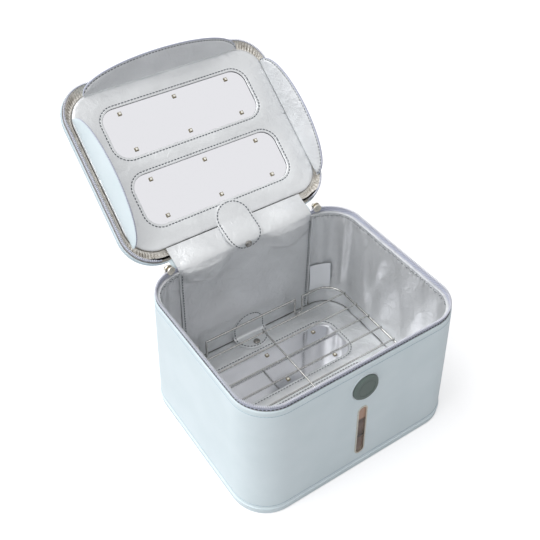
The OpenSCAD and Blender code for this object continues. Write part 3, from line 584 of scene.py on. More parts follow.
def lining_place(s, z):
    if z > WALL_TOP:
        at, way = rim(s, -3.3 - (170.2 - z) * 1.2, 0)
        return (at.x, at.y, min(z, 168.5 + 0.25 * math.sin(2 * math.pi * s / 3.5)))
    at, way = rim(s, -LINING_FACE - lining_in(s, z), flare(z))
    return (at.x, at.y, z)


lining_levels = steps(11.2, 25, 2.4) + steps(30, 150, 5) + \
                [154, 157, 159.5, 161.2, 162.4, 163.5, 164.6, 166, 167.2, 168, 168.6, 169.6, 170.2]
wall_lining = cloth("wall_lining_cloth", steps(HALF_X - 3.4, ROUND - HALF_X + 3.4, 1.75), lining_levels,
                    lining_place, thickness=0.6, offset=1.0)
finish(wall_lining, "case", "lining", silver_cloth, "wall_liner")

# Pitch, length, width and height of a stitch in the lining, mm.
LINING_STITCH = (4.2, 2.0, 0.85, 0.6)
row = []
for s in steps(HALF_X - 3, ROUND - HALF_X + 3, 1.75):
    at, way = rim(s, -LINING_FACE - lining_in(s, LINING_ROW) + 0.05, flare(LINING_ROW))
    row.append(((at.x, at.y, LINING_ROW), (-way.x, -way.y, 0)))
places = stitch_places(row, *LINING_STITCH)
finish(copies("wall_lining_stitches", STITCH, STITCH_FACES, places), "case", "lining", grey_thread)
row = []
for s in steps(ZIP_FROM, ZIP_TO, 4):
    at, way = rim(s, -1.9 + 0.12 * math.sin(s / 6.3), 0)
    row.append(((at.x, at.y, 169.6), (way.x, way.y, 0)))
places = stitch_places(row, 4.0, 1.9, 0.75, 0.5)
finish(copies("case_tape_stitches", STITCH, STITCH_FACES, places), "case", "tape", grey_thread)

# Back lining and hinge lining
# One loose panel of the silver cloth, sewn between two corded seams. It rises over the hinge to the lid
# panel and sags in soft bags on both sides of the snap tab.
SEAM = 94.0
HINGE_Y, HINGE_Z = 122.0, 175.9
OPEN = math.radians(142)


def opened(y, z):
    """A point of the shut lid carried to the open lid, as (y, z) in mm."""
    back, up = y - HINGE_Y, z - HINGE_Z
    return (HINGE_Y + back * math.cos(OPEN) + up * math.sin(OPEN),
            HINGE_Z - back * math.sin(OPEN) + up * math.cos(OPEN))


def back_y(z):
    """Inner face of the back wall at height z, mm."""
    return BACK + flare(z) - LINING_FACE


def hinge_at(t, lift=0.0):
    """Point of the lining across the hinge at t from 0 to 1, lifted towards the inside, as (y, z) in mm."""
    low, high = Vector((back_y(WALL_TOP) + 0.9, WALL_TOP)), Vector(opened(102.8, 179.9))
    way = Vector((-math.cos(OPEN), math.sin(OPEN)))
    p = (low, low + Vector((0, 8.4)), high - 8.4 * way, high)
    k = (1 - t) ** 3, 3 * t * (1 - t) ** 2, 3 * t * t * (1 - t), t ** 3
    at = sum((c * q for c, q in zip(k, p)), Vector((0, 0)))
    d = (p[1] - p[0]) * (1 - t) ** 2 + 2 * (p[2] - p[1]) * t * (1 - t) + (p[3] - p[2]) * t * t
    d.normalize()
    return at + lift * Vector((-d.y, d.x))


def bag(x, z):
    """Loose fullness of the back lining, mm into the case: two swags hung between the tab and the seams."""
    out = max(0.0, (abs(x) - 25) / (SEAM - 25))
    swag = math.sin(math.pi * min(1, out)) ** 0.8 if out > 0 else 0
    line = 163 - 15 * swag - 0.03 * (x + SEAM)
    if z > line:
        rise = (z - line) / (176 - line)
        roll = 7.5 * (1 - rise ** 1.6) + 1.5 * math.sin(math.pi * rise)
    else:
        roll = 7.5 * math.exp(-((z - line) / 4.5) ** 2) - 1.6 * math.exp(-((z - line + 12) / 5) ** 2)
    rays = 0.9 * math.sin((abs(x) + 0.9 * (z - 150)) / 6.5) * math.exp(-((z - 149) / 12) ** 2)
    rays *= min(1, out * 2.5)
    hold = -0.8 * math.exp(-(x / 20) ** 2) * math.exp(-((z - 156) / 12) ** 2)
    broad = 1.5 * math.exp(-((z - 88) / 42) ** 2) * math.cos(x / 55 + 0.4)
    slant = 1.0 * math.sin((x + 0.7 * z) / 21.0) * math.exp(-((z - 95) / 38) ** 2)
    edge = min(1, (SEAM - abs(x)) / 9) if abs(x) < SEAM else 0
    foot = max(0, 1 - (z - 11) / 12) ** 2
    return (roll * swag + rays + hold + broad + slant) * edge + 1.2 * foot


BACK_ROWS = [("wall", z) for z in steps(11.2, 24, 2.5) + steps(28, 130, 5) + steps(133, 166, 2.4)] + \
            [("hinge", t) for t in steps(0, 1, 0.07)]


def back_place(x, row):
    kind, t = BACK_ROWS[row]
    if kind == "wall":
        return (x, back_y(t) - 0.4 - bag(x, t), t)
    soft = min(1, max(0, (abs(x) - 20) / 12)) * math.sin(math.pi * t)
    swell = bag(x, WALL_TOP) * (1 - t) ** 2 + soft * (1.3 * math.sin(x / 10.0 + 2 * t) + 0.9) + 0.6 * (1 - t)
    y, z = hinge_at(t, 0.5 + max(-0.6, swell - 0.6 * (1 - t)))
    return (x, y, z)


back = cloth("back_lining_cloth", steps(-SEAM + 0.4, SEAM - 0.4, 2.6), list(range(len(BACK_ROWS))),
             back_place, thickness=0.6, offset=-1.0)
finish(back, None, "lining", silver_cloth, "back_liner", "hinge_lining")
hinge_start = (0, hinge_at(0).x * MM, WALL_TOP * MM)
hinge_end = (0, hinge_at(1).x * MM, hinge_at(1).y * MM)
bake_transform(back)


for side, name in ((-1, "left"), (1, "right")):
    x0 = side * SEAM

    def place(z, a, x0=x0):
        y = back_y(z) - 1.3 + 0.2 * math.sin(z / 9.0)
        return (x0 + 1.15 * math.cos(a), y + 1.15 * math.sin(a), z)
    cord = cloth(f"{name}_seam_piping", steps(11, 167.6, 4), turn_of(10), place, closed=True)
    weld(cord, outward=True)
    finish(cord, "case", "lining", silver_cloth, *(("seam_piping",) if side < 0 else ()))
    x = x0 - side * 3.2
    row = [((x, back_y(z) - 1.1 - bag(x, z), z), (0, -1, 0)) for z in steps(14, 165, 4)]
    places = stitch_places(row, 4.4, 1.9, 0.7, 0.5)
    finish(copies(f"{name}_seam_stitches", STITCH, STITCH_FACES, places), "case", "lining", grey_thread)

# Leather hinge
# The wall's leatherette runs on over the back edge to the lid as one strip, folded between the two zipper
# ends. It is sewn to the wall and to the lid shell.


def strip_place(x, t):
    low = Vector((BACK, 166.0))
    mid = Vector((BACK, 171.5))
    high = Vector(opened(BACK, 186.0))
    way = Vector(opened(BACK, 179.0))
    k = (1 - t) ** 3, 3 * t * (1 - t) ** 2, 3 * t * t * (1 - t), t ** 3
    at = sum((c * q for c, q in zip(k, (low, mid, way, high))), Vector((0, 0)))
    return (x, at.x, at.y)


strip = cloth("hinge_leather", steps(-97, 97, 6), steps(0, 1, 0.05), strip_place, thickness=1.0, offset=1.0)
finish(strip, None, "leather", leatherette, "hinge_strip")
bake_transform(strip)

# Floor pad
# A foam-backed panel of the silver cloth lies on the base board. Two windows are cut out of it, their
# edges turned in and sewn down round the mirror plates.
WINDOW_W, WINDOW_D, WINDOW_R, WINDOW_Y = 196.0, 64.0, 18.0, 43.5


def round_line(w, d, r, bend, size):
    """Points and outward directions round a rounded rectangle: bend apart in corners, else size apart."""
    points = []
    for k, (sx, sy) in enumerate(((1, 1), (-1, 1), (-1, -1), (1, -1))):
        count = max(4, round(math.pi / 2 * r / bend))
        for i in range(count):
            a = math.radians(90 * (k + i / count))
            way = Vector((math.cos(a), math.sin(a)))
            points.append((Vector((sx * (w / 2 - r), sy * (d / 2 - r))) + r * way, way))
        length = (d if k % 2 else w) - 2 * r
        a = math.radians(90 * (k + 1))
        way = Vector((math.cos(a), math.sin(a)))
        start = Vector((sx * (w / 2 - r), sy * (d / 2 - r))) + r * way
        count = max(2, round(length / size))
        points.extend((start + Vector((-way.y, way.x)) * length * i / count, way) for i in range(count))
    return points


def depth_in(x, y, w, d, r):
    """How deep a point lies inside a rounded rectangle, mm; negative outside."""
    qx, qy = abs(x) - (w / 2 - r), abs(y) - (d / 2 - r)
    if qx > 0 and qy > 0:
        return r - math.hypot(qx, qy)
    return r - max(qx, qy)


def windowed(name, w, d, r, shift, height, drop_edge, drop_window):
    """Panel with two windows: cells of faces run from each window's edge out to the panel's edge, mm."""
    near_rows = (0, 0.5, 1.2, 2.2, 2.8, 3.1, 3.4, 3.7, 4.2, 5.4, 7.0, 9.0)
    points, faces = [], []
    for side in (-1, 1):
        middle = Vector((0, side * WINDOW_Y + shift))
        low = -d / 2 if side < 0 else shift
        high = shift if side < 0 else d / 2
        ring = round_line(WINDOW_W, WINDOW_D, WINDOW_R, 1.6, 3.4)
        first = len(points)
        ends, rims = [], []
        for p, way in ring:
            start = p + middle
            near, far = 0.0, 300.0
            for _try in range(40):
                reach = (near + far) / 2
                q = start + way * reach
                inside = low <= q.y <= high and depth_in(q.x, q.y, w, d, r) > 0
                near, far = (reach, far) if inside else (near, reach)
            ends.append(start + way * near)
        for corner in (Vector((-w / 2, shift)), Vector((w / 2, shift))):
            nearest = min(range(len(ends)), key=lambda i: (ends[i] - corner).length)
            ends[nearest] = corner
        for (p, _way), end in zip(ring, ends):
            start = p + middle
            way, near = (end - start).normalized(), (end - start).length
            rim_here = depth_in(end.x, end.y, w, d, r) < 0.01
            rims.append(rim_here)
            points.append((start.x, start.y, -drop_window))
            reaches = list(near_rows) + [9 + (near - 9) * t for t in (0.2, 0.4, 0.6, 0.78, 0.88, 0.95, 1.0)]
            for reach in reaches:
                q = start + way * reach
                de = depth_in(q.x, q.y, w, d, r)
                dw = -max(depth_in(q.x, q.y - shift - s * WINDOW_Y, WINDOW_W, WINDOW_D, WINDOW_R)
                          for s in (-1, 1))
                points.append((q.x, q.y, height(q.x, q.y, dw, de)))
            points.append((end.x, end.y, -drop_edge) if rim_here else points[-1])
        n, m = len(ring), len(near_rows) + 9
        for i in range(n):
            for k in range(m - 1):
                if k == m - 2 and not (rims[i] and rims[(i + 1) % n]):
                    continue
                a, b = first + i * m + k, first + (i + 1) % n * m + k
                faces.append((a, a + 1, b + 1, b))
    mesh = bpy.data.meshes.new(name)
    mesh.from_pydata([Vector(p) * MM for p in points], [], faces)
    made = bpy.data.objects.new(name, mesh)
    bpy.context.scene.collection.objects.link(made)
    bpy.ops.object.select_all(action="DESELECT")
    made.select_set(True)
    bpy.context.view_layer.objects.active = made
    bpy.ops.object.mode_set(mode="EDIT")
    bpy.ops.mesh.select_all(action="SELECT")
    bpy.ops.mesh.remove_doubles(threshold=0.0002)
    bpy.ops.mesh.dissolve_degenerate(threshold=0.00001)
    bpy.ops.object.mode_set(mode="OBJECT")
    if sum(p.normal.z * p.area for p in mesh.polygons) < 0:
        mesh.flip_normals()
    bpy.ops.object.shade_smooth_by_angle(angle=math.radians(60))
    return made


def window_stitches(shift, face, height, upwards=1):
    """Dash-like stitches 3.4 mm outside both windows."""
    places = []
    for side in (-1, 1):
        line = []
        for p, way in round_line(WINDOW_W + 6.8, WINDOW_D + 6.8, WINDOW_R + 3.4, 2.5, 2.5):
            x, y = p.x, p.y + side * WINDOW_Y + shift
            line.append(((x, y, face + upwards * (height(x, y, 3.4, 30) + 0.12)), (0, 0, upwards)))
        line.append(line[0])
        places += stitch_places(line, *LINING_STITCH)
    return places


def pad_height(x, y, dw, de):
    roll = -2.2 * max(0, 1 - de / 3.5) ** 2 - 0.9 * max(0, 1 - dw / 1.6) ** 2
    groove = -0.3 * math.exp(-((dw - 3.4) / 0.8) ** 2)
    full = 0.5 * math.exp(-((dw - 12) / 7) ** 2)
    crease = 0.6 * math.sin(x / 7.0 + y / 15.0) * math.exp(-((de - 10) / 9) ** 2)
    crease *= 0.3 + 0.7 * min(1, abs(x) / 120)
    bridge = 0.35 * math.sin(x / 13.0) * math.exp(-((y - 2.5) / 9) ** 2)
    return roll + groove + full + crease * min(1, de / 6) + bridge


pad_w, pad_d = 2 * (HALF_X + flare(11) + CORNER - 6.6), 2 * (HALF_Y + flare(11) + CORNER - 6.6)
PAD_SHIFT = 2.5
pad = windowed("floor_pad_cloth", pad_w, pad_d, CORNER - 6.6, PAD_SHIFT, pad_height, 4.8, 3.1)
pad.data.transform(Matrix.Translation((0, 0, 0.011)))
finish(pad, "case", "lining", silver_cloth, "floor_pad")
places = window_stitches(PAD_SHIFT, 11, pad_height)
finish(copies("floor_pad_stitches", STITCH, STITCH_FACES, places), "case", "lining", grey_thread)

# Snap tabs
# Two silver straps with round ends, stitched round their edge. The upper one holds the slack lining to
# the lid, the lower one spans the corner between back lining and floor. Each has a snap cap.


def tab_mesh(name, line, half=24.0):
    """Strap along line, a list of (y, z) in mm with its face to the left of its way, with half-round ends."""
    lengths = [0.0]
    for a, b in zip(line, line[1:]):
        lengths.append(lengths[-1] + math.dist(a, b))
    total = lengths[-1]

    def at(d):
        d = min(max(d, 0), total)
        k = max(i for i in range(len(line) - 1) if lengths[i] <= d + 1e-9)
        t = (d - lengths[k]) / max(1e-9, lengths[k + 1] - lengths[k])
        a, b = Vector(line[k]), Vector(line[k + 1])
        way = (b - a).normalized()
        return a.lerp(b, t), Vector((way.y, -way.x))

    def width(d):
        end = min(d, total - d)
        return half if end >= half else math.sqrt(max(0.0, half ** 2 - (half - end) ** 2))

    ds = [total / 2 * (1 - math.cos(math.pi * k / 36)) for k in range(37)]
    ds[0], ds[-1] = 0.05, total - 0.05

    def place(u, d):
        p, n = at(d)
        puff = 0.55 * (1 - abs(u) ** 6) * min(1, min(d, total - d) / 3) ** 0.5
        q = p + n * puff
        return (u * width(d), q.x, q.y)
    across = [1, 0.97, 0.93, 0.88, 0.8, 0.65, 0.45, 0.2]
    made = cloth(name, across + [0] + [-u for u in reversed(across)], ds, place, thickness=1.5)
    row = []
    for side in (-1, 1):
        for k in range(61):
            d = 2.6 + (total - 5.2) * (k if side < 0 else 60 - k) / 60
            end = min(d, total - d)
            w = half - 2.6 if end >= half else math.sqrt(max(0.0, (half - 2.6) ** 2 - (half - end) ** 2))
            p, n = at(d)
            q = p + n * 0.5
            row.append(((side * w, q.x, q.y), (0, n.x, n.y)))
    return made, stitch_places(row, *LINING_STITCH)


upper_line = [opened(y, 179 - 1.0) for y in steps(76.5, 101, 4)] + \
             [tuple(hinge_at(t, 2.3 + 0.9 * math.sin(math.pi * t))) for t in steps(0.96, 0.04, 0.08)] + \
             [(back_y(WALL_TOP) - 1.5, z) for z in (167, 164.5, 162)]
upper, places = tab_mesh("upper_snap_tab", upper_line)
finish(upper, None, "lining", silver_cloth, "upper_tab")
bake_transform(upper)
upper_seam = finish(copies("upper_tab_stitches", STITCH, STITCH_FACES, places), None, "lining", grey_thread)
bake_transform(upper_seam)

lower_line = [(112.9, 49.5), (112.9, 40), (112.9, 30), (112.9, 22), (112.4, 17.5), (110.9, 14.6), (108, 12.9),
              (104, 12.3), (98, 12.3), (92, 12.3), (84.6, 12.3)]
lower_line = [(y, z + (0.35 if z < 13 else 0)) for y, z in lower_line]
lower_tab, places = tab_mesh("lower_snap_tab", lower_line)
finish(lower_tab, "case", "lining", silver_cloth, "lower_tab")
finish(copies("lower_tab_stitches", STITCH, STITCH_FACES, places), "case", "lining", grey_thread)

# Label
# A strip of white satin ribbon, cut off hot so that it doesn't fray. It is caught in the right-hand seam of
# the back lining and left blank.
satin, tree, out = new_material("white_satin_ribbon")
coords = put(tree, "ShaderNodeTexCoord")
rib = put(tree, "ShaderNodeTexWave", {"Scale": 420.0}, {"Vector": coords.outputs["Object"]},
          bands_direction="Z")
bump = put(tree, "ShaderNodeBump", {"Strength": 0.15, "Distance": 0.0001}, {"Height": rib.outputs["Fac"]})
weft = put(tree, "ShaderNodeBsdfPrincipled",
           {"Base Color": linear("#eef1f5"), "Roughness": 0.5, "Sheen Weight": 0.2},
           {"Normal": bump.outputs[0]})
tree.links.new(weft.outputs[0], out.inputs["Surface"])


def label_place(u, v):
    x = 95.4 + u * math.cos(math.radians(20)) + 0.4 * math.sin(v / 9)
    y = back_y(80) - 1.6 - u * math.sin(math.radians(20)) + 1.6 * math.sin(math.pi * u / 28) * (0.6 + v / 90)
    return (x, y - 1.0, 41 + v)


label = cloth("blank_ribbon_label", steps(0, 28, 2), steps(0, 42, 3), label_place, thickness=0.3)
finish(label, "case", "label", satin, "blank_label")

# Lid shell
# Leatherette moulded over a dished board, with a rounded top edge. Everything on the lid is laid out
# shut, as it is sewn, and then leaned back about the hinge.
HINGE = Vector((0, HINGE_Y, HINGE_Z)) * MM
LEAN = Matrix.Translation(HINGE) @ Matrix.Rotation(-OPEN, 4, "X") @ Matrix.Translation(-HINGE)
DOME = 22.0
dome_rows = [(-0.9, 183.6), (-0.1, 183.7), (0.1, 184.6), (0.0, 186.5), (0.0, 188.9)] + \
            [(-DOME + DOME * math.cos(math.radians(a)), 188.9 + DOME * math.sin(math.radians(a)))
             for a in range(9, 91, 9)] + [(-30, 211.1), (-39, 211.2)]


def dome_place(s, row):
    o, z = dome_rows[row]
    at, _way = rim(s, o)
    return (at.x, at.y, z)


dome = cloth("lid_leather", steps(0, ROUND, 5), list(range(len(dome_rows))), dome_place, closed=True)
bpy.ops.object.mode_set(mode="EDIT")
bpy.ops.mesh.select_all(action="DESELECT")
bpy.ops.object.mode_set(mode="OBJECT")
for v in dome.data.vertices:
    v.select = v.co.z > 0.21115
bpy.ops.object.mode_set(mode="EDIT")
bpy.ops.mesh.edge_face_add()
bpy.ops.object.mode_set(mode="OBJECT")
shell = dome.modifiers.new("thickness", "SOLIDIFY")
shell.thickness = 0.0010
shell.offset = -1
bpy.ops.object.modifier_apply(modifier="thickness")
bpy.ops.object.shade_smooth_by_angle(angle=math.radians(40))
dome.data.transform(LEAN)
finish(dome, "lid", "leather", leatherette, "lid_shell")
row = []
for s in steps(0, ROUND, 4):
    at, way = rim(s, 0.05)
    row.append(((at.x, at.y, 187.3), (way.x, way.y, 0)))
lid_seam = copies("lid_stitches", STITCH, STITCH_FACES, stitch_places(row, *WALL_STITCH))
lid_seam.data.transform(LEAN)
finish(lid_seam, "lid", "leather", pale_thread)

# Zipper of the lid
# The other half of the zipper: the same woven tape and nylon coil, sewn inside the edge of the lid shell.
# Its coil starts beyond the parked sliders.
LID_FROM, LID_TO = HALF_X + 15.5, ROUND - HALF_X - 15.5
tape = cloth("lid_tape_cloth", steps(LID_FROM - TAPE_END, LID_TO + TAPE_END, 4), [178.2, 180, 182, 184, 186],
             tape_place, thickness=0.8)
tape.data.transform(LEAN)
finish(tape, "lid", "tape", zip_tape, "lid_zip_tape")
teeth = copies("lid_coil_turns", TURN, TURN_FACES, coil_places(177.5, LID_FROM, LID_TO))
teeth.data.transform(LEAN)
finish(teeth, "lid", "tape", zip_coil, "lid_zip_coil")

# Gusset of the lid
# A strip of lining between the zipper and the panel, gathered at the corners on a draw thread. It dips
# into the lid, so a dark gap shows round the panel.
PANEL_W, PANEL_D, PANEL_R, PANEL_FACE = 262.0, 204.0, 34.0, 179.0


SLIDER_AT = Vector((103, 116))


def gusset_place(s, t):
    """Point of the gusset from its zipper edge to the panel, drawn in where a slider lies when shut."""
    a, way = rim(s, -3.2)
    by_slider = max(0, 1 - (Vector((abs(a.x), a.y)) - SLIDER_AT).length / 22)
    room = min(1, 2 * by_slider)
    a = a - way * 3.1 * room
    cx, cy = PANEL_W / 2 - PANEL_R, PANEL_D / 2 - PANEL_R
    ends = Vector((math.copysign(cx, a.x), math.copysign(cy, a.y))) + way * (PANEL_R + 0.3)
    if abs(way.x) < 1e-6:
        ends.x = a.x * cx / HALF_X
    if abs(way.y) < 1e-6:
        ends.y = a.y * cy / HALF_Y
    corner = 4 * (way.x * way.y) ** 2
    if t < 0:
        return (a.x, a.y, 180.6 + 1.7 * t * (1 - room) + 0.9 * room + 0.25 * math.sin(2 * math.pi * s / 4.4))
    p = a.lerp(ends, t)
    gather = (0.18 + 1.25 * corner) * math.sin(2 * math.pi * s / 4.4 + 1.1 * math.sin(s / 5.0) + 2.5 * t)
    dip = 3.0 * math.sin(math.pi * min(1, t * 1.1)) + 2.6 * t
    lift = 0.9 * room * (1 - min(1, t)) + 1.5 * gather * math.sin(math.pi * min(1, t + 0.12))
    return (p.x, p.y, 180.6 + dip - 0.6 * corner + lift)


# The same cloth drawn up on its thread, given a greyer, browner base colour than the silver cloth: painted
# shade for the dark reflections caught in its gathers.
shaded_silver_cloth, tree, out = new_material("silver_cloth_painted_shade")
coords = put(tree, "ShaderNodeTexCoord")
crease = put(tree, "ShaderNodeTexNoise", {"Scale": 160.0, "Detail": 3.0, "Distortion": 0.8},
             {"Vector": coords.outputs["Object"]})
# The ramp runs from darker where the crease bump is low to paler where it is high: painted shade in the
# creases.
shade = put(tree, "ShaderNodeValToRGB", {}, {"Fac": crease.outputs["Fac"]})
shade.color_ramp.elements[0].position = 0.35
shade.color_ramp.elements[0].color = linear("#cbc7c0")
shade.color_ramp.elements[1].position = 0.65
shade.color_ramp.elements[1].color = linear("#e8e5df")
bump = put(tree, "ShaderNodeBump", {"Strength": 0.5, "Distance": 0.0006}, {"Height": crease.outputs["Fac"]})
film = put(tree, "ShaderNodeBsdfPrincipled", {"Metallic": 0.45, "Roughness": 0.5},
           {"Base Color": shade.outputs[0], "Normal": bump.outputs[0]})
tree.links.new(film.outputs[0], out.inputs["Surface"])

gusset = cloth("lid_gusset_cloth", steps(0, ROUND, 0.9), [-1, 0, 0.12, 0.28, 0.45, 0.62, 0.8, 1.0],
               gusset_place, closed=True)
solid = gusset.modifiers.new("thickness", "SOLIDIFY")
solid.thickness = 0.0004
bpy.ops.object.modifier_apply(modifier="thickness")
gusset.data.transform(LEAN)
finish(gusset, "lid", "lining", shaded_silver_cloth, "lid_gusset")

# Lid panel
# The same kind of padded silver panel closes the lid from inside, wrapped round a card and pushed into
# the shell. It has the same two windows.


def panel_height(x, y, dw, de):
    roll = -1.5 * max(0, 1 - de / 3.0) ** 2 - 0.6 * max(0, 1 - dw / 1.4) ** 2
    groove = -0.35 * math.exp(-((dw - 3.4) / 0.8) ** 2)
    full = 0.7 * math.exp(-((dw - 12) / 6) ** 2)
    corner = min(1, max(0, (abs(x) / 131 + abs(y) / 102 - 1.15) * 2.2))
    fan = math.sin(math.atan2(abs(y) - 68, abs(x) - 97) * 14)
    tucks = 0.55 * corner * fan * math.exp(-((de - 5) / 8) ** 2)
    sag = 0.45 * math.sin(x / 17.0 + y / 30.0) * math.exp(-((de - 9) / 8) ** 2)
    return roll + groove + full + (tucks + sag) * min(1, de / 4)


panel = windowed("lid_panel_cloth", PANEL_W, PANEL_D, PANEL_R, 0.0, panel_height, 2.6, 0.9)
FACE_DOWN = Matrix.Translation((0, 0, PANEL_FACE * MM)) @ Matrix.Rotation(math.pi, 4, "X")
panel.data.transform(LEAN @ FACE_DOWN)
finish(panel, "lid", "lining", silver_cloth, "lid_liner")
seam = copies("lid_panel_stitches", STITCH, STITCH_FACES, window_stitches(0.0, 0, panel_height))
seam.data.transform(LEAN @ FACE_DOWN)
finish(seam, "lid", "lining", grey_thread)

# Flaps of the lid
# Three lens-shaped flaps hang from the panel's edge and tuck inside the wall when the lid shuts. Each is
# leatherette outside and silver cloth inside, bound round its free edge and stitched 3 mm in.
FLAP_H = 34.0


def flap(name, length, lean, curl, frame_at):
    root = math.tan(math.radians(lean)) + 0.1

    def at(a, v):
        drop = (FLAP_H - root) * max(0.0, math.sin(a)) ** 0.9
        return length / 2 * math.cos(a), -root - drop * v, drop

    def bend(v, drop):
        return curl * (v * drop / FLAP_H) ** 1.7

    def outside(a, v):
        x, z, drop = at(a, v)
        return (x, bend(v, drop) - 0.35 - 0.55 * math.sin(math.pi * v) * min(1, drop / 12), z)

    def inside(a, v):
        x, z, drop = at(a, v)
        soft = 0.9 * math.sin(math.pi * min(1, v * 1.04))
        soft += 0.3 * math.sin(x / 9.0 + z / 6.0) * math.sin(math.pi * v)
        seam_line = -0.5 * math.exp(-((drop * (1 - v) - 3.2) / 1.0) ** 2)
        return (x, bend(v, drop) + 0.35 + (soft + seam_line) * min(1, drop / 10), z)

    def edge(a, turn):
        x, z, drop = at(a, 1)
        return (x, bend(1, drop) + 1.05 * math.cos(turn), z + 0.5 - 0.95 * math.sin(turn))
    angles = [math.radians(a) for a in steps(0, 180, 2.5)]
    rows = [0, 0.08, 0.2, 0.35, 0.5, 0.65, 0.76, 0.84, 0.89, 0.93, 0.97, 1]
    leather = cloth(f"{name}_leather", angles, rows, outside, thickness=0.6, offset=1.0)
    silver = cloth(f"{name}_silver_cloth", angles, rows, inside, thickness=0.5, offset=1.0)
    bound = cloth(f"{name}_binding", angles, turn_of(8), edge, closed=True)
    weld(bound, outward=True)
    row = []
    for a in [math.radians(d) for d in steps(7, 173, 1.5)]:
        x, z, drop = at(a, 1)
        v = 1 - min(0.9, 3.2 / max(drop, 3.3))
        p = inside(a, v)
        row.append(((p[0], p[1] + 0.02, p[2]), (0, 1, 0)))
    seam = copies(f"{name}_stitches", STITCH, STITCH_FACES, stitch_places(row, *LINING_STITCH))
    for piece in (leather, silver, bound, seam):
        piece.data.transform(LEAN @ frame_at)
    return leather, silver, bound, seam


# Each flap: length in mm, its lean, how far its free edge curls in mm, where its root lies on the shut lid,
# the axis and angle it folds by, and the quarter turn that sets it along that side.
for side, length, lean, curl, root_at, axis, fold, quarter in (
    ("front", 210, 45, 8.0, (0, -0.100, 0.1787), "X", -45, 0),
    ("left", 166, 0, 0.0, (-0.129, 0.006, 0.1787), "Y", -16, -1),
    ("right", 166, 23, 3.0, (0.129, 0.006, 0.1787), "Y", -23, 1),
):
    frame_at = Matrix.Translation(root_at) @ Matrix.Rotation(math.radians(fold), 4, axis) \
        @ Matrix.Rotation(quarter * math.pi / 2, 4, "Z")
    leather, silver, bound, seam = flap(f"{side}_flap", length, lean, curl, frame_at)
    finish(leather, f"{side}_flap", "leather", leatherette, f"{side}_flap")
    finish(silver, f"{side}_flap", "lining", silver_cloth, f"{side}_flap_lining")
    finish(bound, f"{side}_flap", "tape", zip_tape)
    finish(seam, f"{side}_flap", "lining", grey_thread)

# Sliders and pulls
# Two sliders, each with a bail that holds a swinging pull, ride the coil from the rear corners. They are
# die-cast zinc, plated a warm nickel and barrel-polished: soft, slightly pebbled highlights.
nickel, tree, out = new_material("nickel_plated_zinc")
coords = put(tree, "ShaderNodeTexCoord")
cast = put(tree, "ShaderNodeTexNoise", {"Scale": 340.0, "Detail": 2.0}, {"Vector": coords.outputs["Object"]})
gloss = put(tree, "ShaderNodeMapRange", {"To Min": 0.22, "To Max": 0.38}, {"Value": cast.outputs["Fac"]})
bump = put(tree, "ShaderNodeBump", {"Strength": 0.12, "Distance": 0.0002}, {"Height": cast.outputs["Fac"]})
plate = put(tree, "ShaderNodeBsdfPrincipled", {"Base Color": linear("#dcd7cb"), "Metallic": 1.0},
            {"Roughness": gloss.outputs[0], "Normal": bump.outputs[0]})
tree.links.new(plate.outputs[0], out.inputs["Surface"])


def dress(material, slot, *names):
    """Gives CAD nodes that stay in view their material."""
    for name in names:
        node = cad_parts[name]
        node.data.materials.clear()
        node.data.materials.append(material)


dress(nickel, "nickel", "left_slider", "right_slider", "left_pull", "right_pull", "indicator_bezel")

# Snap caps: drawn brass under a darker nickel, burnished smooth on the crown.
snap_metal, tree, out = new_material("nickel_plated_brass_dark")
coords = put(tree, "ShaderNodeTexCoord")
burnish = put(tree, "ShaderNodeTexNoise", {"Scale": 500.0}, {"Vector": coords.outputs["Object"]})
gloss = put(tree, "ShaderNodeMapRange", {"To Min": 0.14, "To Max": 0.24}, {"Value": burnish.outputs["Fac"]})
plate = put(tree, "ShaderNodeBsdfPrincipled", {"Base Color": linear("#8f8d89"), "Metallic": 1.0},
            {"Roughness": gloss.outputs[0]})
tree.links.new(plate.outputs[0], out.inputs["Surface"])
dress(snap_metal, "nickel", "upper_snap", "lower_snap")

# Mirror plates
# A plate of polished aluminium sheet lies under each window and throws the lamps' light back into the
# case. It has a faint rolling haze along its length and holes for the lamps.
mirror, tree, out = new_material("polished_aluminium_sheet")
coords = put(tree, "ShaderNodeTexCoord")
stretch = put(tree, "ShaderNodeMapping", {"Scale": (30.0, 400.0, 400.0)},
              {"Vector": coords.outputs["Object"]})
haze = put(tree, "ShaderNodeTexNoise", {"Scale": 1.0, "Detail": 2.0}, {"Vector": stretch.outputs[0]})
gloss = put(tree, "ShaderNodeMapRange", {"To Min": 0.05, "To Max": 0.13}, {"Value": haze.outputs["Fac"]})
plate = put(tree, "ShaderNodeBsdfPrincipled", {"Base Color": linear("#e6e6ea"), "Metallic": 1.0},
            {"Roughness": gloss.outputs[0]})
tree.links.new(plate.outputs[0], out.inputs["Surface"])
dress(mirror, "mirror_film", "floor_reflectors", "lid_reflectors")

# Lamp boards and lamps
# Each board is aluminium under white solder mask. Each lamp is a tan ceramic package 4.4 mm wide with a
# clear window over its chips.
mask, tree, out = new_material("white_solder_mask")
coords = put(tree, "ShaderNodeTexCoord")
flow = put(tree, "ShaderNodeTexNoise", {"Scale": 60.0}, {"Vector": coords.outputs["Object"]})
gloss = put(tree, "ShaderNodeMapRange", {"To Min": 0.3, "To Max": 0.42}, {"Value": flow.outputs["Fac"]})
lacquer = put(tree, "ShaderNodeBsdfPrincipled", {"Base Color": linear("#eceeef")},
              {"Roughness": gloss.outputs[0]})
tree.links.new(lacquer.outputs[0], out.inputs["Surface"])
dress(mask, "lamp_board", "floor_led_boards", "lid_led_boards")

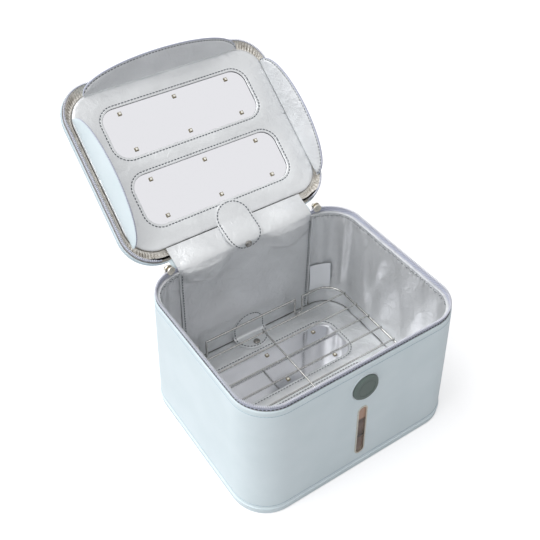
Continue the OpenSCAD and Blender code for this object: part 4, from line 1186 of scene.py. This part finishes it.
ceramic, tree, out = new_material("lamp_ceramic_tan")
coords = put(tree, "ShaderNodeTexCoord")
grit = put(tree, "ShaderNodeTexNoise", {"Scale": 900.0}, {"Vector": coords.outputs["Object"]})
shade = put(tree, "ShaderNodeValToRGB", {}, {"Fac": grit.outputs["Fac"]})
shade.color_ramp.elements[0].color = linear("#7d7460")
shade.color_ramp.elements[1].color = linear("#9a8f76")
fired = put(tree, "ShaderNodeBsdfPrincipled", {"Roughness": 0.45}, {"Base Color": shade.outputs[0]})
tree.links.new(fired.outputs[0], out.inputs["Surface"])
dress(ceramic, "lamp", "floor_leds", "lid_leds")

bpy.ops.object.select_all(action="DESELECT")
bpy.ops.mesh.primitive_cube_add(size=0.001)
one_pane = bpy.context.object
bpy.ops.object.mode_set(mode="EDIT")
bpy.ops.mesh.select_all(action="SELECT")
bpy.ops.transform.resize(value=(2.7, 2.7, 0.5))
bpy.ops.mesh.bevel(offset=0.0002, segments=2)
bpy.ops.object.mode_set(mode="OBJECT")
PANE = [v.co.copy() for v in one_pane.data.vertices]
PANE_FACES = [tuple(p.vertices) for p in one_pane.data.polygons]
bpy.data.objects.remove(one_pane)
quartz, tree, out = new_material("lamp_window_quartz")
coords = put(tree, "ShaderNodeTexCoord")
chips = put(tree, "ShaderNodeTexNoise", {"Scale": 700.0}, {"Vector": coords.outputs["Object"]})
shade = put(tree, "ShaderNodeValToRGB", {}, {"Fac": chips.outputs["Fac"]})
shade.color_ramp.elements[0].color = linear("#f3efe0")
shade.color_ramp.elements[1].color = linear("#fffdf4")
pane = put(tree, "ShaderNodeBsdfPrincipled", {"Roughness": 0.12, "Coat Weight": 0.5},
           {"Base Color": shade.outputs[0]})
tree.links.new(pane.outputs[0], out.inputs["Surface"])


LAMP_STEP, LAMP_ROW = 73.3, 23.7


def lamp_places(shift):
    """A matrix for each of the twelve lamps: three in a row, two rows in a window."""
    return [Matrix.Translation(Vector((i * LAMP_STEP, side * WINDOW_Y + row * LAMP_ROW + shift, 0)) * MM)
            for side in (-1, 1) for row in (-1, 1) for i in (-1, 0, 1)]


pane_low = copies("floor_lamp_windows", PANE, PANE_FACES,
                  [Matrix.Translation((0, 0, 0.00885)) @ p for p in lamp_places(PAD_SHIFT)])
finish(pane_low, "case", "lamp", quartz)
pane_high = copies("lid_lamp_windows", PANE, PANE_FACES,
                   [LEAN @ Matrix.Translation((0, 0, 0.17895)) @ p for p in lamp_places(0)])
finish(pane_high, "lid", "lamp", quartz)

# Wire rack
# Stainless wire, cross wires spot-welded on a bent rail frame, electropolished. The drawing marks run
# along the wire.
stainless, tree, out = new_material("stainless_wire_electropolished")
coords = put(tree, "ShaderNodeTexCoord")
drawn = put(tree, "ShaderNodeTexNoise", {"Scale": 260.0, "Detail": 2.0}, {"Vector": coords.outputs["Object"]})
gloss = put(tree, "ShaderNodeMapRange", {"To Min": 0.16, "To Max": 0.34}, {"Value": drawn.outputs["Fac"]})
shade = put(tree, "ShaderNodeValToRGB", {}, {"Fac": drawn.outputs["Fac"]})
shade.color_ramp.elements[0].color = linear("#a2a2a0")
shade.color_ramp.elements[1].color = linear("#c4c4c2")
wire = put(tree, "ShaderNodeBsdfPrincipled", {"Metallic": 1.0},
           {"Base Color": shade.outputs[0], "Roughness": gloss.outputs[0]})
tree.links.new(wire.outputs[0], out.inputs["Surface"])
dress(stainless, "steel", "rack_frame", "rack_wires", "rack_brace")

# Button, its ring and the light slot
# A round cap in a pale ring presses the switch behind it. Under it an upright slot, rimmed in nickel, shows
# the light strip through a smoked window. All are set into the front wall.

# Button cap: injection-moulded ABS in dark grey-green, its spark-eroded mould face leaving a fine matt.
cap_plastic, tree, out = new_material("abs_matt_grey_green")
coords = put(tree, "ShaderNodeTexCoord")
spark = put(tree, "ShaderNodeTexNoise", {"Scale": 1500.0, "Detail": 2.0},
            {"Vector": coords.outputs["Object"]})
bump = put(tree, "ShaderNodeBump", {"Strength": 0.15, "Distance": 0.0001}, {"Height": spark.outputs["Fac"]})
gloss = put(tree, "ShaderNodeMapRange", {"To Min": 0.34, "To Max": 0.46}, {"Value": spark.outputs["Fac"]})
skin = put(tree, "ShaderNodeBsdfPrincipled", {"Base Color": linear("#5f6d68")},
           {"Roughness": gloss.outputs[0], "Normal": bump.outputs[0]})
tree.links.new(skin.outputs[0], out.inputs["Surface"])
dress(cap_plastic, "button", "power_button")

# Ring: the same ABS in a pale satin.
ring_plastic, tree, out = new_material("abs_satin_pale")
coords = put(tree, "ShaderNodeTexCoord")
spark = put(tree, "ShaderNodeTexNoise", {"Scale": 1200.0}, {"Vector": coords.outputs["Object"]})
gloss = put(tree, "ShaderNodeMapRange", {"To Min": 0.28, "To Max": 0.38}, {"Value": spark.outputs["Fac"]})
skin = put(tree, "ShaderNodeBsdfPrincipled", {"Base Color": linear("#d3dde2")},
           {"Roughness": gloss.outputs[0]})
tree.links.new(skin.outputs[0], out.inputs["Surface"])
dress(ring_plastic, "button", "button_bezel")

# Window: smoked polycarbonate, printed on its back in bands: salmon at the top, then two browns with a
# dark line between them.
smoked, tree, out = new_material("polycarbonate_smoked_banded")
coords = put(tree, "ShaderNodeTexCoord")
split = put(tree, "ShaderNodeSeparateXYZ", {}, {0: coords.outputs["Object"]})
up = put(tree, "ShaderNodeMapRange", {"From Min": 0.025, "From Max": 0.105}, {"Value": split.outputs["Z"]})
bands = put(tree, "ShaderNodeValToRGB", {}, {"Fac": up.outputs[0]})
bands.color_ramp.elements[0].position = 0.0
bands.color_ramp.elements[0].color = linear("#5a4a42")
bands.color_ramp.elements[1].position = 1.0
bands.color_ramp.elements[1].color = linear("#4a3a32")
for position, code in ((0.08, "#78645a"), (0.32, "#705b50"), (0.35, "#2f2622"), (0.385, "#4e3f37"),
                       (0.55, "#745f54"), (0.70, "#57453c"), (0.735, "#b58f7b"), (0.92, "#b89480"),
                       (0.95, "#54423a")):
    stop = bands.color_ramp.elements.new(position)
    stop.color = linear(code)
pane = put(tree, "ShaderNodeBsdfPrincipled", {"Roughness": 0.22, "Coat Weight": 0.15},
           {"Base Color": bands.outputs[0]})
tree.links.new(pane.outputs[0], out.inputs["Surface"])
dress(smoked, "slot_window", "indicator_window")

# Boards, wiring and the rest inside
# Stiffener boards, card panel, control housing with its board and switch, sensor, magnet, inlet and loom.
# They go in before the lining is sewn shut, so little of them is ever seen.

# Fibre board under the leatherette: brown-grey, faintly flecked.
fibre_board, tree, out = new_material("fibre_board")
coords = put(tree, "ShaderNodeTexCoord")
fleck = put(tree, "ShaderNodeTexNoise", {"Scale": 320.0, "Detail": 4.0}, {"Vector": coords.outputs["Object"]})
shade = put(tree, "ShaderNodeValToRGB", {}, {"Fac": fleck.outputs["Fac"]})
shade.color_ramp.elements[0].color = linear("#8d8880")
shade.color_ramp.elements[1].color = linear("#a9a49b")
pulp = put(tree, "ShaderNodeBsdfPrincipled", {"Roughness": 0.85}, {"Base Color": shade.outputs[0]})
tree.links.new(pulp.outputs[0], out.inputs["Surface"])
dress(fibre_board, "stiffener", "base_board", "wall_board", "lid_board")
dress(fibre_board, "panel_card", "lid_core")

# Moulded ABS in grey-white for the control housing, with faint flow marks.
housing_plastic, tree, out = new_material("abs_grey_white")
coords = put(tree, "ShaderNodeTexCoord")
flow = put(tree, "ShaderNodeTexNoise", {"Scale": 90.0}, {"Vector": coords.outputs["Object"]})
gloss = put(tree, "ShaderNodeMapRange", {"To Min": 0.4, "To Max": 0.52}, {"Value": flow.outputs["Fac"]})
skin = put(tree, "ShaderNodeBsdfPrincipled", {"Base Color": linear("#c9cdd1")},
           {"Roughness": gloss.outputs[0]})
tree.links.new(skin.outputs[0], out.inputs["Surface"])
dress(housing_plastic, "housing", "control_housing")

# Green solder mask over woven glass.
green_mask, tree, out = new_material("green_solder_mask")
coords = put(tree, "ShaderNodeTexCoord")
glass = put(tree, "ShaderNodeTexWave", {"Scale": 500.0, "Distortion": 2.0},
            {"Vector": coords.outputs["Object"]})
shade = put(tree, "ShaderNodeValToRGB", {}, {"Fac": glass.outputs["Fac"]})
shade.color_ramp.elements[0].color = linear("#2a6345")
shade.color_ramp.elements[1].color = linear("#357553")
lacquer = put(tree, "ShaderNodeBsdfPrincipled", {"Roughness": 0.3}, {"Base Color": shade.outputs[0]})
tree.links.new(lacquer.outputs[0], out.inputs["Surface"])
dress(green_mask, "circuit", "control_board")

# Black glass-filled nylon for switch, sensor, inlet and wire sleeve.
black_nylon, tree, out = new_material("black_nylon")
coords = put(tree, "ShaderNodeTexCoord")
fibre = put(tree, "ShaderNodeTexNoise", {"Scale": 800.0}, {"Vector": coords.outputs["Object"]})
gloss = put(tree, "ShaderNodeMapRange", {"To Min": 0.42, "To Max": 0.56}, {"Value": fibre.outputs["Fac"]})
skin = put(tree, "ShaderNodeBsdfPrincipled", {"Base Color": linear("#33363a")},
           {"Roughness": gloss.outputs[0]})
tree.links.new(skin.outputs[0], out.inputs["Surface"])
dress(black_nylon, "dark_plastic", "button_switch", "lid_sensor", "power_socket", "wiring_loom")

# Light strip behind the slot: lamps under milky silicone.
silicone, tree, out = new_material("milky_silicone")
coords = put(tree, "ShaderNodeTexCoord")
cloudy = put(tree, "ShaderNodeTexNoise", {"Scale": 200.0}, {"Vector": coords.outputs["Object"]})
gloss = put(tree, "ShaderNodeMapRange", {"To Min": 0.35, "To Max": 0.5}, {"Value": cloudy.outputs["Fac"]})
gel = put(tree, "ShaderNodeBsdfPrincipled", {"Base Color": linear("#efe9dc"), "Subsurface Weight": 0.1,
                                             "Subsurface Scale": 0.001}, {"Roughness": gloss.outputs[0]})
tree.links.new(gel.outputs[0], out.inputs["Surface"])
dress(silicone, "light", "light_strip")

# Neodymium disc, nickel-plated: brighter and smoother than the sliders.
disc_metal, tree, out = new_material("nickel_plated_magnet")
coords = put(tree, "ShaderNodeTexCoord")
bath = put(tree, "ShaderNodeTexNoise", {"Scale": 300.0}, {"Vector": coords.outputs["Object"]})
gloss = put(tree, "ShaderNodeMapRange", {"To Min": 0.12, "To Max": 0.24}, {"Value": bath.outputs["Fac"]})
plate = put(tree, "ShaderNodeBsdfPrincipled", {"Base Color": linear("#c9cacb"), "Metallic": 1.0},
            {"Roughness": gloss.outputs[0]})
tree.links.new(plate.outputs[0], out.inputs["Surface"])
dress(disc_metal, "magnet", "lid_magnet")
